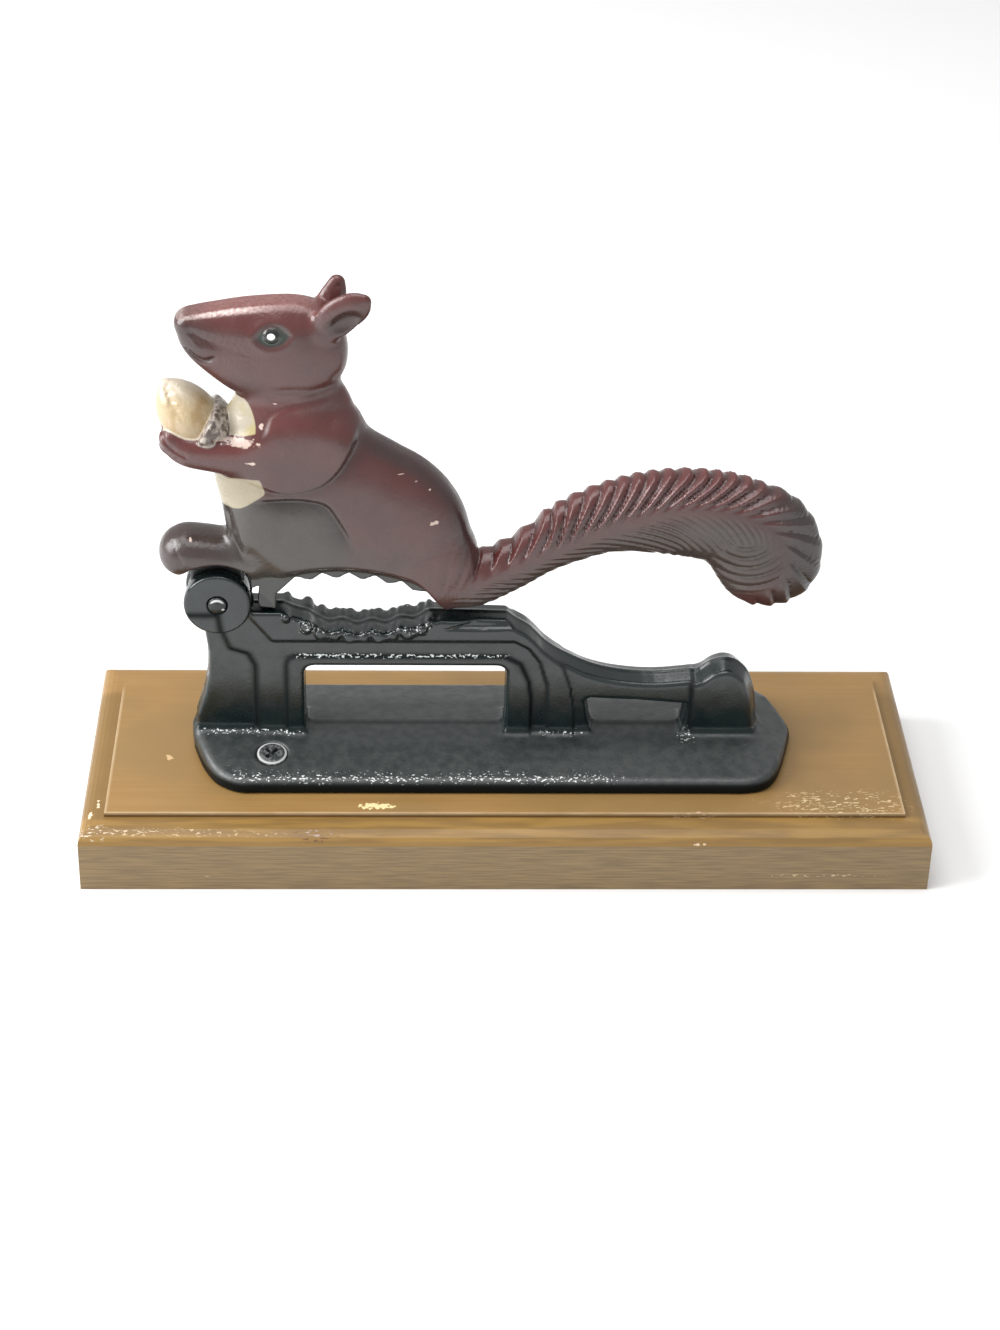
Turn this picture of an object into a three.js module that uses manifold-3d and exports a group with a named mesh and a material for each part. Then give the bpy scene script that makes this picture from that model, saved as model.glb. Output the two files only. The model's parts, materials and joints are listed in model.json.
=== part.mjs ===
// Lever nutcracker press: a cast squirrel is the upper jaw and its tail is the handle. It turns on a pin
// in a cast frame, which is the lower jaw and is screwed down on a painted wooden plinth.
// Millimetres, +Z up, +X towards the tail, +Y to the rear. The origin lies under the plinth's middle.
import * as THREE from "three";
import { mergeVertices } from "three/addons/utils/BufferGeometryUtils.js";
import Module from "manifold-3d";

const wasm = await Module();
wasm.setup();

// Clearances and steps
const gap = 0.3; // between pieces that touch, and round what turns
const overrun = 6; // how far a cutter passes what it cuts
const weld = 0.001; // vertices nearer than this are one
const roundSides = 32;
const limbSides = 18;
const limbStepsPerStation = 3;
const capSteps = 4;

// Wooden plinth
const plinthLength = 280;
const plinthWidth = 102;
const plinthHeight = 23.5;
const plinthEdgeHeight = 18;
const mouldingWidth = 8; // at the ends
const mouldingDepth = 10.2; // at the front and the rear
const mouldingRound = 5.5;
const mouldingStep = 1.5;

// Flange of the frame
const flangeLength = 204.4;
const flangeWidth = 60;
const flangeShift = -3.85;
const flangeEdge = 4.4;
const flangeRise = 9.3;
const flangeRimBevel = 1.2;
const crownWidth = 14;
const hipLength = 13;

// Web of the frame
const webThickness = 14;
const reliefDepth = 0.9;
const shoulderRise = 43.8;
const blockLift = 3.6;
const saddleDepth = 4;
const columnFoot = 39.2;
const windowLength = 66.9;
const windowHeight = 25.8;
const windowCorner = 3;
const borderSide = 6.2;
const borderTop = 4.3;
const railDepth = 7.9;
const endBlockLength = 23;

// Ridges of the lower jaw
const ridgePitch = 7.4;
const ridgeRadius = 2.1;
const ridgeProud = 1.2;
const ridgeCount = 6;

// Pivot
const pivotInset = 11.2;
const pivotLift = 7.1;
const earRadius = 11;
const earSpan = 18;
const pinRadius = 3;
const pinDome = 0.8;
const lugRadius = 10.2;
const lugThickness = 7.4;
const footClearRadius = 15;

// Squirrel: the unit is the height of the ears' roots over the pin
const figureHeight = 100;
const figureWidth = 26;
const tailLength = 118;
const tailDepth = 50;
const tailWidth = 16.6;
const mouthRise = 11.5;
const mouthStart = 10.9;
const mouthLength = 59;
const toothDepth = 2.2;
const toothPitch = 8.6;
const toothCount = 5;
const cheekRise = 1.3;
const stopToothLength = 8.4;
const stopToothWidth = 3.9;

// Wood screws through the flange
const screwInset = 28.2;
const screwSide = 17;
const screwHeadRadius = 5.1;
const screwHeadDepth = 3.1;
const screwHeadRim = 0.5;
const screwHeadDome = 0.5;
const screwShankRadius = 2.1;
const screwLength = 20;
const screwPoint = 4;
const crossWidth = 1.3;
const crossLength = 5.4;
const crossDepth = 1.8;

// Levels and places that follow from the sizes
const flangeBottom = plinthHeight + gap;
const crownTop = plinthHeight + flangeRise;
const flangeLeft = flangeShift - flangeLength / 2;
const flangeRight = flangeShift + flangeLength / 2;
const shoulderTop = crownTop + shoulderRise;
const pivotX = flangeLeft + pivotInset;
const pivotZ = shoulderTop + pivotLift;
const windowLeft = flangeLeft + columnFoot;
const windowRight = windowLeft + windowLength;
const blockStart = pivotX + earRadius;
const slopeFall = flangeRise - flangeEdge;
const slopeRun = (flangeWidth - crownWidth) / 2;
const slopeAngle = Math.atan2(slopeFall, slopeRun);

const paints = {
  plinth_paint: { color: 0xa98250, roughness: 0.5, metalness: 0 },
  frame_paint: { color: 0x0f1315, roughness: 0.25, metalness: 0.1 },
  squirrel_paint: { color: 0x54262a, roughness: 0.35, metalness: 0.1 },
  bare_steel: { color: 0x55565a, roughness: 0.45, metalness: 1 },
};

// Booleans
function solidOf(geometry) {
  geometry.deleteAttribute("normal");
  geometry.deleteAttribute("uv");
  const merged = mergeVertices(geometry, weld);
  return new wasm.Manifold(
    new wasm.Mesh({
      numProp: 3,
      vertProperties: merged.attributes.position.array,
      triVerts: new Uint32Array(merged.index.array),
    }),
  );
}

function join(solids) {
  return solids.reduce((whole, next) => whole.add(next));
}

function cut(solid, cutters) {
  return solid.subtract(join(cutters));
}

function meshOf(name, solid, paint) {
  const { vertProperties, triVerts } = solid.getMesh();
  const geometry = new THREE.BufferGeometry();
  geometry.setAttribute("position", new THREE.BufferAttribute(vertProperties, 3));
  geometry.setIndex(new THREE.BufferAttribute(triVerts, 1));
  geometry.computeVertexNormals();
  const mesh = new THREE.Mesh(geometry, new THREE.MeshStandardMaterial(paints[paint]));
  mesh.name = name;
  return mesh;
}

// A slab whose outline lies in the XZ plane, centred on y = 0
function slab(points, thickness) {
  const shape = new THREE.Shape(points.map(([x, z]) => new THREE.Vector2(x, z)));
  const geometry = new THREE.ExtrudeGeometry(shape, { depth: thickness, bevelEnabled: false });
  geometry.rotateX(Math.PI / 2);
  geometry.translate(0, thickness / 2, 0);
  return solidOf(geometry);
}

// A round bar along Y
function bar(x, z, radius, length) {
  const geometry = new THREE.CylinderGeometry(radius, radius, length, roundSides);
  geometry.translate(x, 0, z);
  return solidOf(geometry);
}

// A closed solid through rings with equal counts of points, each ring convex
function loft(rings) {
  const sides = rings[0].length;
  const last = (rings.length - 1) * sides;
  const indices = [];
  for (let ring = 0; ring < last; ring += sides) {
    for (let side = 0; side < sides; side++) {
      const here = ring + side;
      const next = ring + ((side + 1) % sides);
      indices.push(here, next, next + sides, here, next + sides, here + sides);
    }
  }
  for (let side = 1; side + 1 < sides; side++) {
    indices.push(0, side + 1, side, last, last + side, last + side + 1);
  }
  const geometry = new THREE.BufferGeometry().setFromPoints(rings.flat());
  geometry.setIndex(indices);
  return solidOf(geometry);
}

// A curve through hand-chosen points, as a list of [x, z]
function smooth(points, steps) {
  const curve = new THREE.SplineCurve(points.map(([x, z]) => new THREE.Vector2(x, z)));
  return curve.getPoints(steps).map((point) => [point.x, point.y]);
}

function roundedCorner(x, z, radius, startAngle, steps = 4) {
  const points = [];
  for (let step = 0; step <= steps; step++) {
    const angle = startAngle + (step / steps) * (Math.PI / 2);
    points.push([x + radius * Math.cos(angle), z + radius * Math.sin(angle)]);
  }
  return points;
}

// Plinth: a board whose top edge is moulded with a quarter round and a small step
function plinth() {
  const levels = [
    [0, 0, 0],
    [0, 0, plinthEdgeHeight],
  ];
  const roundHeight = plinthHeight - mouldingStep - plinthEdgeHeight;
  const roundSteps = 5;
  for (let step = 1; step <= roundSteps; step++) {
    const angle = ((step / roundSteps) * Math.PI) / 2;
    const inset = mouldingRound * (1 - Math.cos(angle));
    levels.push([inset, inset, plinthEdgeHeight + roundHeight * Math.sin(angle)]);
  }
  levels.push([mouldingWidth, mouldingDepth, plinthHeight - mouldingStep]);
  levels.push([mouldingWidth, mouldingDepth, plinthHeight]);
  const rings = levels.map(([insetX, insetY, z]) => {
    const x = plinthLength / 2 - insetX;
    const y = plinthWidth / 2 - insetY;
    return [
      new THREE.Vector3(-x, -y, z),
      new THREE.Vector3(x, -y, z),
      new THREE.Vector3(x, y, z),
      new THREE.Vector3(-x, y, z),
    ];
  });
  return cut(loft(rings), [screw(-1, gap), screw(1, gap)]);
}

// Flange: a board with a flat crown that falls away to a low rim, its left end bowed and its right end cut
function flange() {
  const rightEndShares = [
    [0.8, 1],
    [0.855, 0.93],
    [0.9, 0.77],
    [0.955, 0.43],
    [1, 0.15],
  ];
  const leftEndShares = [
    [-0.987, 0.1],
    [-0.972, 0.3],
    [-0.947, 0.56],
    [-0.91, 0.8],
    [-0.868, 0.93],
    [-0.82, 1],
  ];
  const rear = [...leftEndShares, ...rightEndShares];
  const front = rear.map(([x, y]) => [x, -y]).reverse();
  const outline = [...front, ...rear].map(
    ([x, y]) => new THREE.Vector2(flangeShift + (x * flangeLength) / 2, (y * flangeWidth) / 2),
  );
  const board = new THREE.ExtrudeGeometry(new THREE.Shape(outline.reverse()), {
    depth: flangeRise + overrun,
    bevelEnabled: false,
  });
  board.translate(0, 0, flangeBottom);

  const half = flangeWidth / 2;
  const rim = plinthHeight + flangeEdge;
  const profile = [
    [-half, flangeBottom - overrun],
    [half, flangeBottom - overrun],
    [half, rim - flangeRimBevel],
    [half - flangeRimBevel, rim],
    [crownWidth / 2, crownTop],
    [-crownWidth / 2, crownTop],
    [-half + flangeRimBevel, rim],
    [-half, rim - flangeRimBevel],
  ].map(([y, z]) => new THREE.Vector2(y, z));
  const roof = new THREE.ExtrudeGeometry(new THREE.Shape(profile), {
    depth: flangeLength + 2 * overrun,
    bevelEnabled: false,
  });
  const alongX = new THREE.Matrix4().makeBasis(
    new THREE.Vector3(0, 1, 0),
    new THREE.Vector3(0, 0, 1),
    new THREE.Vector3(1, 0, 0),
  );
  roof.applyMatrix4(alongX);
  roof.translate(flangeLeft - overrun, 0, 0);

  const hip = slab(
    [
      [flangeLeft - overrun, flangeBottom - overrun],
      [flangeRight + gap, flangeBottom - overrun],
      [flangeRight + gap, rim],
      [flangeRight - hipLength, crownTop + gap],
      [flangeLeft - overrun, crownTop + gap],
    ],
    flangeWidth + overrun,
  );
  return solidOf(board).intersect(solidOf(roof)).intersect(hip);
}

// Saddle of the lower jaw: its height over the shoulder's flat top, lowest at its middle
function saddleZ(x, start, end) {
  const middle = (start + end) / 2 + saddleDepth / 2;
  const share = (x - middle) / (end - middle);
  return shoulderTop - saddleDepth * (1 - share * share);
}

const saddleStart = blockStart + (blockStart - pivotX) * 0.92;
const saddleEnd = windowRight - windowLength * 0.38;

// Outline of the web, clockwise from the foot of the left column
function webOutline() {
  const columnShares = [
    [0.012, -0.1],
    [0.013, 0.12],
    [0.026, 0.32],
    [0.034, 0.5],
    [0.035, 0.69],
    [0.03, 0.88],
  ];
  const fallShares = [
    [0, 1],
    [0.05, 0.89],
    [0.11, 0.79],
    [0.165, 0.645],
    [0.21, 0.515],
    [0.28, 0.38],
    [0.38, 0.235],
    [0.48, 0.12],
    [0.62, 0.035],
    [0.8, 0],
    [1, 0.05],
  ];
  const column = columnShares.map(([x, z]) => [flangeLeft + x * flangeLength, crownTop + z * shoulderRise]);
  const saddle = [];
  const saddleSteps = 12;
  for (let step = 0; step <= saddleSteps; step++) {
    const x = saddleStart + ((saddleEnd - saddleStart) * step) / saddleSteps;
    saddle.push([x, saddleZ(x, saddleStart, saddleEnd)]);
  }
  const armTop = crownTop + shoulderRise * 0.415;
  const blockLeft = flangeRight - hipLength - endBlockLength;
  const fallRun = blockLeft - windowRight;
  const fall = smooth(
    fallShares.map(([x, z]) => [windowRight + x * fallRun, armTop + z * (shoulderTop - armTop)]),
    16,
  );
  const endBlockShares = [
    [0.09, 0.43],
    [0.18, 0.46],
    [0.3, 0.518],
    [0.46, 0.543],
    [0.65, 0.52],
    [0.82, 0.45],
    [0.915, 0.36],
    [0.965, 0.24],
    [1.02, 0.02],
    [1.03, -0.1],
  ];
  const endBlock = endBlockShares.map(([x, z]) => [
    blockLeft + x * endBlockLength,
    crownTop + z * shoulderRise,
  ]);
  return [
    ...column,
    [pivotX - earRadius * 0.6, pivotZ - earRadius * 0.6],
    [pivotX, pivotZ],
    [blockStart, shoulderTop + blockLift],
    [saddleStart, shoulderTop + blockLift],
    ...saddle,
    ...fall,
    ...endBlock,
  ].reverse();
}

function windowOutline(side, top, corner) {
  const left = windowLeft - side;
  const right = windowRight + side;
  const upper = crownTop + windowHeight + top;
  return [
    ...roundedCorner(left + corner, crownTop + corner, corner, Math.PI),
    ...roundedCorner(right - corner, crownTop + corner, corner, -Math.PI / 2),
    ...roundedCorner(right - corner, upper - corner, corner, 0),
    ...roundedCorner(left + corner, upper - corner, corner, Math.PI / 2),
  ];
}

// The gap under the frame's arm, between the right column and the end block
function armGapOutline() {
  const armGapShares = [
    [0.15, 0],
    [0.88, 0],
    [0.93, 0.12],
    [1, 0.72],
    [0.985, 0.84],
    [0.04, 1],
    [0, 0.94],
    [0.05, 0.4],
  ];
  const left = windowRight + columnFoot * 0.7;
  const length = flangeRight - hipLength - endBlockLength - left - ridgeRadius;
  const height = shoulderRise * 0.275;
  return armGapShares.map(([x, z]) => [left + x * length, crownTop + z * height]);
}

// The bead round the window, the jaw with the shoulder, and the end block stand proud of the rest
function raisedParts() {
  const foot = crownTop - flangeEdge;
  const beadTop = crownTop + windowHeight + borderTop;
  const railTop = shoulderTop - railDepth;
  const beadRight = windowRight + borderSide + reliefDepth;
  const bead = [
    [windowLeft - borderSide, foot],
    [windowLeft - borderSide, beadTop - windowCorner],
    [windowLeft - borderSide + windowCorner * 0.3, beadTop - windowCorner * 0.3],
    [windowLeft - borderSide + windowCorner, beadTop],
    [windowRight, beadTop],
    [windowRight + borderSide * 0.6, beadTop - borderTop * 0.45],
    [windowRight + borderSide, beadTop - borderTop * 1.5],
    [beadRight, beadTop - borderTop * 3],
    [beadRight, foot],
  ].reverse();
  const bandShares = [
    [0.02, 0],
    [0.11, 0.08],
    [0.17, 0.22],
    [0.206, 0.5],
    [0.21, 1],
  ];
  const bandRun = flangeRight - hipLength - endBlockLength - windowRight;
  const band = bandShares.map(([x, z]) => [windowRight + x * bandRun, railTop + z * (foot - railTop)]);
  const jaw = [
    [blockStart - gap, shoulderTop],
    [windowLeft - borderSide - borderTop, railTop],
    ...band,
    [windowRight + bandRun * 0.35, foot],
    [windowRight + bandRun * 0.33, crownTop + shoulderRise * 0.4],
    [windowRight + bandRun * 0.29, crownTop + shoulderRise * 0.65],
    [windowRight + bandRun * 0.29, shoulderTop + overrun],
    [blockStart - gap, shoulderTop + overrun],
  ].reverse();
  const endBlock = [
    [flangeRight - hipLength - endBlockLength, foot],
    [flangeRight, foot],
    [flangeRight, shoulderTop],
    [flangeRight - hipLength - endBlockLength, shoulderTop],
  ];
  return [bead, jaw, endBlock];
}

function lowerJawRidges() {
  const ridges = [];
  const start = (saddleStart + saddleEnd) / 2 - ((ridgeCount - 1) * ridgePitch) / 2;
  for (let index = 0; index < ridgeCount; index++) {
    const x = start + index * ridgePitch;
    const z = saddleZ(x, saddleStart, saddleEnd) - ridgeRadius / 2;
    ridges.push(bar(x, z, ridgeRadius, webThickness + 2 * ridgeProud));
  }
  return ridges;
}

function anvilFrame() {
  const outline = webOutline();
  const marginThickness = webThickness - 4 * reliefDepth;
  const channelThickness = webThickness - 2 * reliefDepth;
  const marginEdge = windowLeft - borderSide - ridgePitch - reliefDepth * 3;
  const margin = [
    [flangeLeft - overrun, crownTop + gap],
    [marginEdge, crownTop + gap],
    [marginEdge, crownTop + shoulderRise * 0.6],
    [marginEdge - windowCorner, crownTop + shoulderRise * 0.7],
    [pivotX + pinRadius, crownTop + shoulderRise * 0.74],
    [pivotX, pivotZ - earRadius * 0.8],
    [flangeLeft - overrun, pivotZ - earRadius * 0.8],
  ];
  const thin = slab(outline, marginThickness);
  const channel = cut(slab(outline, channelThickness), [slab(margin, webThickness)]);
  const proud = slab(outline, webThickness);
  const raised = raisedParts().map((part) => proud.intersect(slab(part, webThickness + overrun)));
  const ears = bar(pivotX, pivotZ, earRadius, earSpan);
  const casting = join([flange(), thin, channel, ...raised, ears, ...lowerJawRidges()]);
  return cut(casting, [
    slab(windowOutline(0, 0, windowCorner), flangeWidth),
    slab(armGapOutline(), flangeWidth),
    bar(pivotX, pivotZ, earRadius + gap, lugThickness + 2 * gap),
    bar(pivotX, pivotZ, pinRadius + gap, earSpan + overrun),
    screw(-1, gap),
    screw(1, gap),
  ]);
}

// The part of the lug between the pin and the foot, seen from the side
function lugNeck() {
  const lugNeckShares = [
    [-0.5, 0],
    [0.5, 0],
    [0.86, 0.5],
    [0.86, 2],
    [-0.86, 2],
    [-0.86, 0.5],
  ];
  return lugNeckShares.map(([x, z]) => [pivotX + x * lugRadius, pivotZ + z * lugRadius]);
}

// Wood screw with a countersunk head and a cross recess, square to the flange's slope.
// side is -1 for the front left and 1 for the rear right; grow makes the hole that it sits in.
function screw(side, grow) {
  const profile = [
    [0, -screwLength - grow],
    [screwShankRadius / 4 + grow, -screwLength - grow],
    [screwShankRadius + grow, -screwLength + screwPoint],
    [screwShankRadius + grow, -screwHeadDepth - grow],
    [screwHeadRadius + grow, -screwHeadRim],
    [screwHeadRadius + grow, grow > 0 ? overrun : 0],
    [screwHeadRadius * 0.7, grow > 0 ? overrun : screwHeadDome],
    [0, grow > 0 ? overrun : screwHeadDome],
  ].map(([r, h]) => new THREE.Vector2(r, h));
  const geometry = new THREE.LatheGeometry(profile, roundSides);
  let solid = solidOf(geometry);
  if (grow === 0) {
    const slots = [0, Math.PI / 2].map((turn) => {
      const slot = new THREE.BoxGeometry(crossLength, 2 * crossDepth, crossWidth);
      slot.rotateY(turn + Math.PI / 4);
      slot.translate(0, screwHeadDome, 0);
      return solidOf(slot);
    });
    solid = cut(solid, slots);
  }
  const x = side < 0 ? flangeLeft + screwInset : flangeRight - screwInset;
  const z = crownTop - (screwSide - crownWidth / 2) * Math.tan(slopeAngle);
  const degrees = 180 / Math.PI;
  return solid
    .rotate([90 - side * slopeAngle * degrees, 0, 0])
    .translate([x, side * screwSide, z]);
}

// Pin through both ears and the lug, its ends domed
function pivotPin() {
  const half = earSpan / 2;
  const profile = [
    [0, -half - pinDome],
    [pinRadius * 0.6, -half - pinDome * 0.75],
    [pinRadius, -half],
    [pinRadius, half],
    [pinRadius * 0.6, half + pinDome * 0.75],
    [0, half + pinDome],
  ].map(([r, h]) => new THREE.Vector2(r, h));
  const geometry = new THREE.LatheGeometry(profile, roundSides);
  geometry.translate(pivotX, 0, pivotZ);
  return solidOf(geometry);
}

// A limb: a tapering round body along a spine. A station is [x, z, y, radius, half width].
// The spine lies beside the XZ plane; the half width is measured along Y.
function limb(stations) {
  const spine = new THREE.CatmullRomCurve3(
    stations.map(([x, z, y]) => new THREE.Vector3(x, y, z)),
    false,
    "catmullrom",
  );
  const sizes = new THREE.CatmullRomCurve3(
    stations.map(([, , , radius, width]) => new THREE.Vector3(radius, width, 0)),
    false,
    "catmullrom",
  );
  const rings = [];
  const ring = (t, lean) => {
    const centre = spine.getPoint(t);
    const { x: radius, y: width } = sizes.getPoint(t);
    const along = spine.getTangent(t).setY(0).normalize();
    const across = new THREE.Vector3(-along.z, 0, along.x);
    centre.addScaledVector(along, radius * Math.sin(lean));
    const points = [];
    for (let side = 0; side < limbSides; side++) {
      const angle = (2 * Math.PI * side) / limbSides;
      const point = centre.clone().addScaledVector(across, radius * Math.cos(lean) * Math.cos(angle));
      point.y -= width * Math.cos(lean) * Math.sin(angle);
      points.push(point);
    }
    rings.push(points);
  };
  const capLean = (step) => (step / (capSteps + 0.3)) * (Math.PI / 2);
  for (let step = capSteps; step > 0; step--) ring(0, -capLean(step));
  const steps = (stations.length - 1) * limbStepsPerStation;
  for (let step = 0; step <= steps; step++) ring(step / steps, 0);
  for (let step = 1; step <= capSteps; step++) ring(1, capLean(step));
  return loft(rings);
}

// Stations given in shares of the figure's height and width, measured from the pin
function figureLimb(shares, side = 1) {
  return limb(
    shares.map(([x, z, y, radius, width]) => [
      pivotX + x * figureHeight,
      pivotZ + z * figureHeight,
      side * y * figureWidth,
      radius * figureHeight,
      width * figureWidth,
    ]),
  );
}

const headShares = [
  [-0.048, 0.973, 0, 0.055, 0.22],
  [0.01, 0.948, 0, 0.104, 0.29],
  [0.09, 0.923, 0, 0.145, 0.34],
  [0.18, 0.903, 0, 0.183, 0.38],
  [0.25, 0.89, 0, 0.192, 0.385],
];
const chestShares = [
  [0.265, 0.748, 0, 0.135, 0.33],
  [0.254, 0.643, 0, 0.2, 0.36],
  [0.24, 0.523, 0, 0.232, 0.38],
  [0.22, 0.443, 0, 0.213, 0.36],
];
const trunkShares = [
  [0.25, 0.493, 0, 0.22, 0.44],
  [0.31, 0.426, 0, 0.25, 0.46],
  [0.37, 0.358, 0, 0.272, 0.48],
  [0.45, 0.293, 0, 0.285, 0.48],
  [0.515, 0.233, 0, 0.297, 0.48],
  [0.585, 0.168, 0, 0.25, 0.44],
];
const thighShares = [
  [0.18, 0.283, 0, 0.145, 0.5],
  [0.27, 0.223, 0, 0.17, 0.5],
  [0.35, 0.183, 0, 0.135, 0.48],
];
const footShares = [
  [0.11, 0.14, 0, 0.068, 0.34],
  [0, 0.16, 0, 0.073, 0.36],
  [-0.085, 0.166, 0, 0.079, 0.37],
  [-0.108, 0.16, 0, 0.08, 0.35],
];
const upperArmShares = [
  [0.37, 0.593, 0, 0.115, 0.46],
  [0.29, 0.578, 0, 0.148, 0.48],
  [0.21, 0.553, 0, 0.13, 0.48],
];
const forearmShares = [
  [0.21, 0.553, 0.22, 0.11, 0.24],
  [0.11, 0.546, 0.25, 0.08, 0.21],
  [0.02, 0.551, 0.25, 0.063, 0.19],
  [-0.07, 0.561, 0.22, 0.056, 0.19],
  [-0.12, 0.588, 0.18, 0.05, 0.17],
];
const acornNutShares = [
  [-0.03, 0.62, 0, 0.078, 0.31],
  [-0.08, 0.663, 0, 0.086, 0.34],
  [-0.122, 0.71, 0, 0.07, 0.27],
  [-0.147, 0.752, 0, 0.03, 0.12],
];
const acornCapShares = [
  [0.03, 0.59, 0, 0.045, 0.18],
  [0.01, 0.61, 0, 0.077, 0.3],
  [-0.015, 0.633, 0, 0.09, 0.35],
];
const nearEarShares = [
  [0.37, 0.985, 0.22, 0.05, 0.12],
  [0.42, 1.04, 0.29, 0.066, 0.11],
  [0.455, 1.08, 0.34, 0.044, 0.08],
];
const farEarShares = [
  [0.33, 0.985, 0.22, 0.045, 0.12],
  [0.37, 1.035, 0.27, 0.052, 0.1],
  [0.395, 1.07, 0.31, 0.034, 0.08],
];

// Tail, in shares of its own length, depth and width, measured from its root on the figure
const tailRootShare = [0.7, 0.09];
const tailShares = [
  [0.007, 0.026, 0.3, 0.6],
  [0.1, -0.1, 0.215, 0.5],
  [0.215, 0.01, 0.19, 0.45],
  [0.3, 0.148, 0.19, 0.44],
  [0.385, 0.285, 0.225, 0.46],
  [0.482, 0.388, 0.244, 0.47],
  [0.592, 0.438, 0.278, 0.49],
  [0.7, 0.434, 0.304, 0.5],
  [0.8, 0.394, 0.318, 0.5],
  [0.863, 0.316, 0.34, 0.5],
];
const curlShares = [
  [0.9, 0.256, 0.366, 0.5],
  [0.922, 0.176, 0.37, 0.5],
  [0.933, 0.106, 0.354, 0.5],
];

function tailLimb(shares) {
  const rootX = pivotX + tailRootShare[0] * figureHeight;
  const rootZ = pivotZ + tailRootShare[1] * figureHeight;
  return limb(
    shares.map(([x, z, radius, width]) => [
      rootX + x * tailLength,
      rootZ + z * tailDepth,
      0,
      radius * tailDepth,
      width * tailWidth,
    ]),
  );
}

// Arch of the upper jaw over the nut, highest before its middle
const mouthLeft = pivotX + mouthStart;
const mouthRight = mouthLeft + mouthLength;
function archZ(x) {
  const middle = mouthLeft + mouthLength * 0.49;
  const share = (x - middle) / (mouthRight - middle);
  return pivotZ + mouthRise - mouthRise * 0.62 * share * share;
}

// Everything under the belly from the pivot to the rump, open for the nut
function mouthCutter() {
  const low = shoulderTop - shoulderRise;
  const points = [[mouthLeft, low]];
  const steps = 12;
  for (let step = 0; step <= steps; step++) {
    const x = mouthLeft + (mouthLength * step) / steps;
    points.push([x, archZ(x) + cheekRise]);
  }
  points.push([mouthRight + toothDepth, pivotZ], [mouthRight + toothDepth, low]);
  return slab(points.reverse(), 2 * figureWidth);
}

// Toothed strip under the belly, with one long tooth next to the pivot
function upperJaw() {
  const top = pivotZ + mouthRise + toothDepth * 2;
  const points = [[mouthRight, top], [mouthLeft, top]];
  const stopLeft = mouthLeft + stopToothWidth;
  const stopTip = archZ(stopLeft) - stopToothLength;
  points.push([mouthLeft, archZ(mouthLeft)], [stopLeft - toothDepth / 2, archZ(stopLeft)]);
  points.push([stopLeft, stopTip + toothDepth / 2], [stopLeft + toothDepth / 2, stopTip]);
  points.push([stopLeft + stopToothWidth - toothDepth / 2, stopTip]);
  points.push([stopLeft + stopToothWidth, archZ(stopLeft) - toothDepth * 2]);
  const firstTip = mouthRight - toothDepth * 2.5 - (toothCount - 1) * toothPitch;
  for (let index = 0; index < toothCount; index++) {
    const tip = firstTip + index * toothPitch;
    const valley = tip - toothPitch / 2;
    points.push([valley, archZ(valley)], [tip - toothDepth / 3, archZ(tip) - toothDepth * 0.9]);
    points.push([tip + toothDepth / 3, archZ(tip) - toothDepth]);
  }
  points.push([mouthRight - toothDepth / 2, archZ(mouthRight)]);
  return slab(points, webThickness);
}

// Squirrel: one casting from the toes to the tail, with the lug that turns on the pin
function squirrelLever() {
  const body = join([
    figureLimb(headShares),
    figureLimb(chestShares),
    figureLimb(trunkShares),
    figureLimb(thighShares),
    figureLimb(footShares),
    figureLimb(upperArmShares),
    figureLimb(forearmShares, -1),
    figureLimb(forearmShares, 1),
    figureLimb(acornNutShares),
    figureLimb(acornCapShares),
    figureLimb(nearEarShares, -1),
    figureLimb(farEarShares, 1),
    tailLimb(tailShares),
    tailLimb(curlShares),
  ]);
  const seatLeft = mouthRight - overrun;
  const seat = [
    [seatLeft, shoulderTop - overrun],
    [windowRight + overrun, shoulderTop - overrun],
    [windowRight + overrun, shoulderTop + gap],
    [seatLeft, shoulderTop + gap],
  ];
  const shaped = cut(body, [
    mouthCutter(),
    bar(pivotX, pivotZ, footClearRadius, 2 * figureWidth),
    slab(seat, 2 * figureWidth),
  ]);
  const lug = join([
    bar(pivotX, pivotZ, lugRadius, lugThickness),
    slab(lugNeck(), lugThickness),
  ]);
  return cut(join([shaped, upperJaw(), lug]), [bar(pivotX, pivotZ, pinRadius + gap, earSpan)]);
}

const nutcracker = new THREE.Group();
nutcracker.add(
  meshOf("wooden_plinth", plinth(), "plinth_paint"),
  meshOf("anvil_frame", anvilFrame(), "frame_paint"),
  meshOf("squirrel_lever", squirrelLever(), "squirrel_paint"),
  meshOf("pivot_pin", pivotPin(), "bare_steel"),
  meshOf("flange_screw_front", screw(-1, 0), "bare_steel"),
  meshOf("flange_screw_rear", screw(1, 0), "bare_steel"),
);

export default nutcracker;
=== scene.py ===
import json
import math
from functools import reduce

import bpy
import numpy as np
from mathutils import Matrix, Vector


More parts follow.
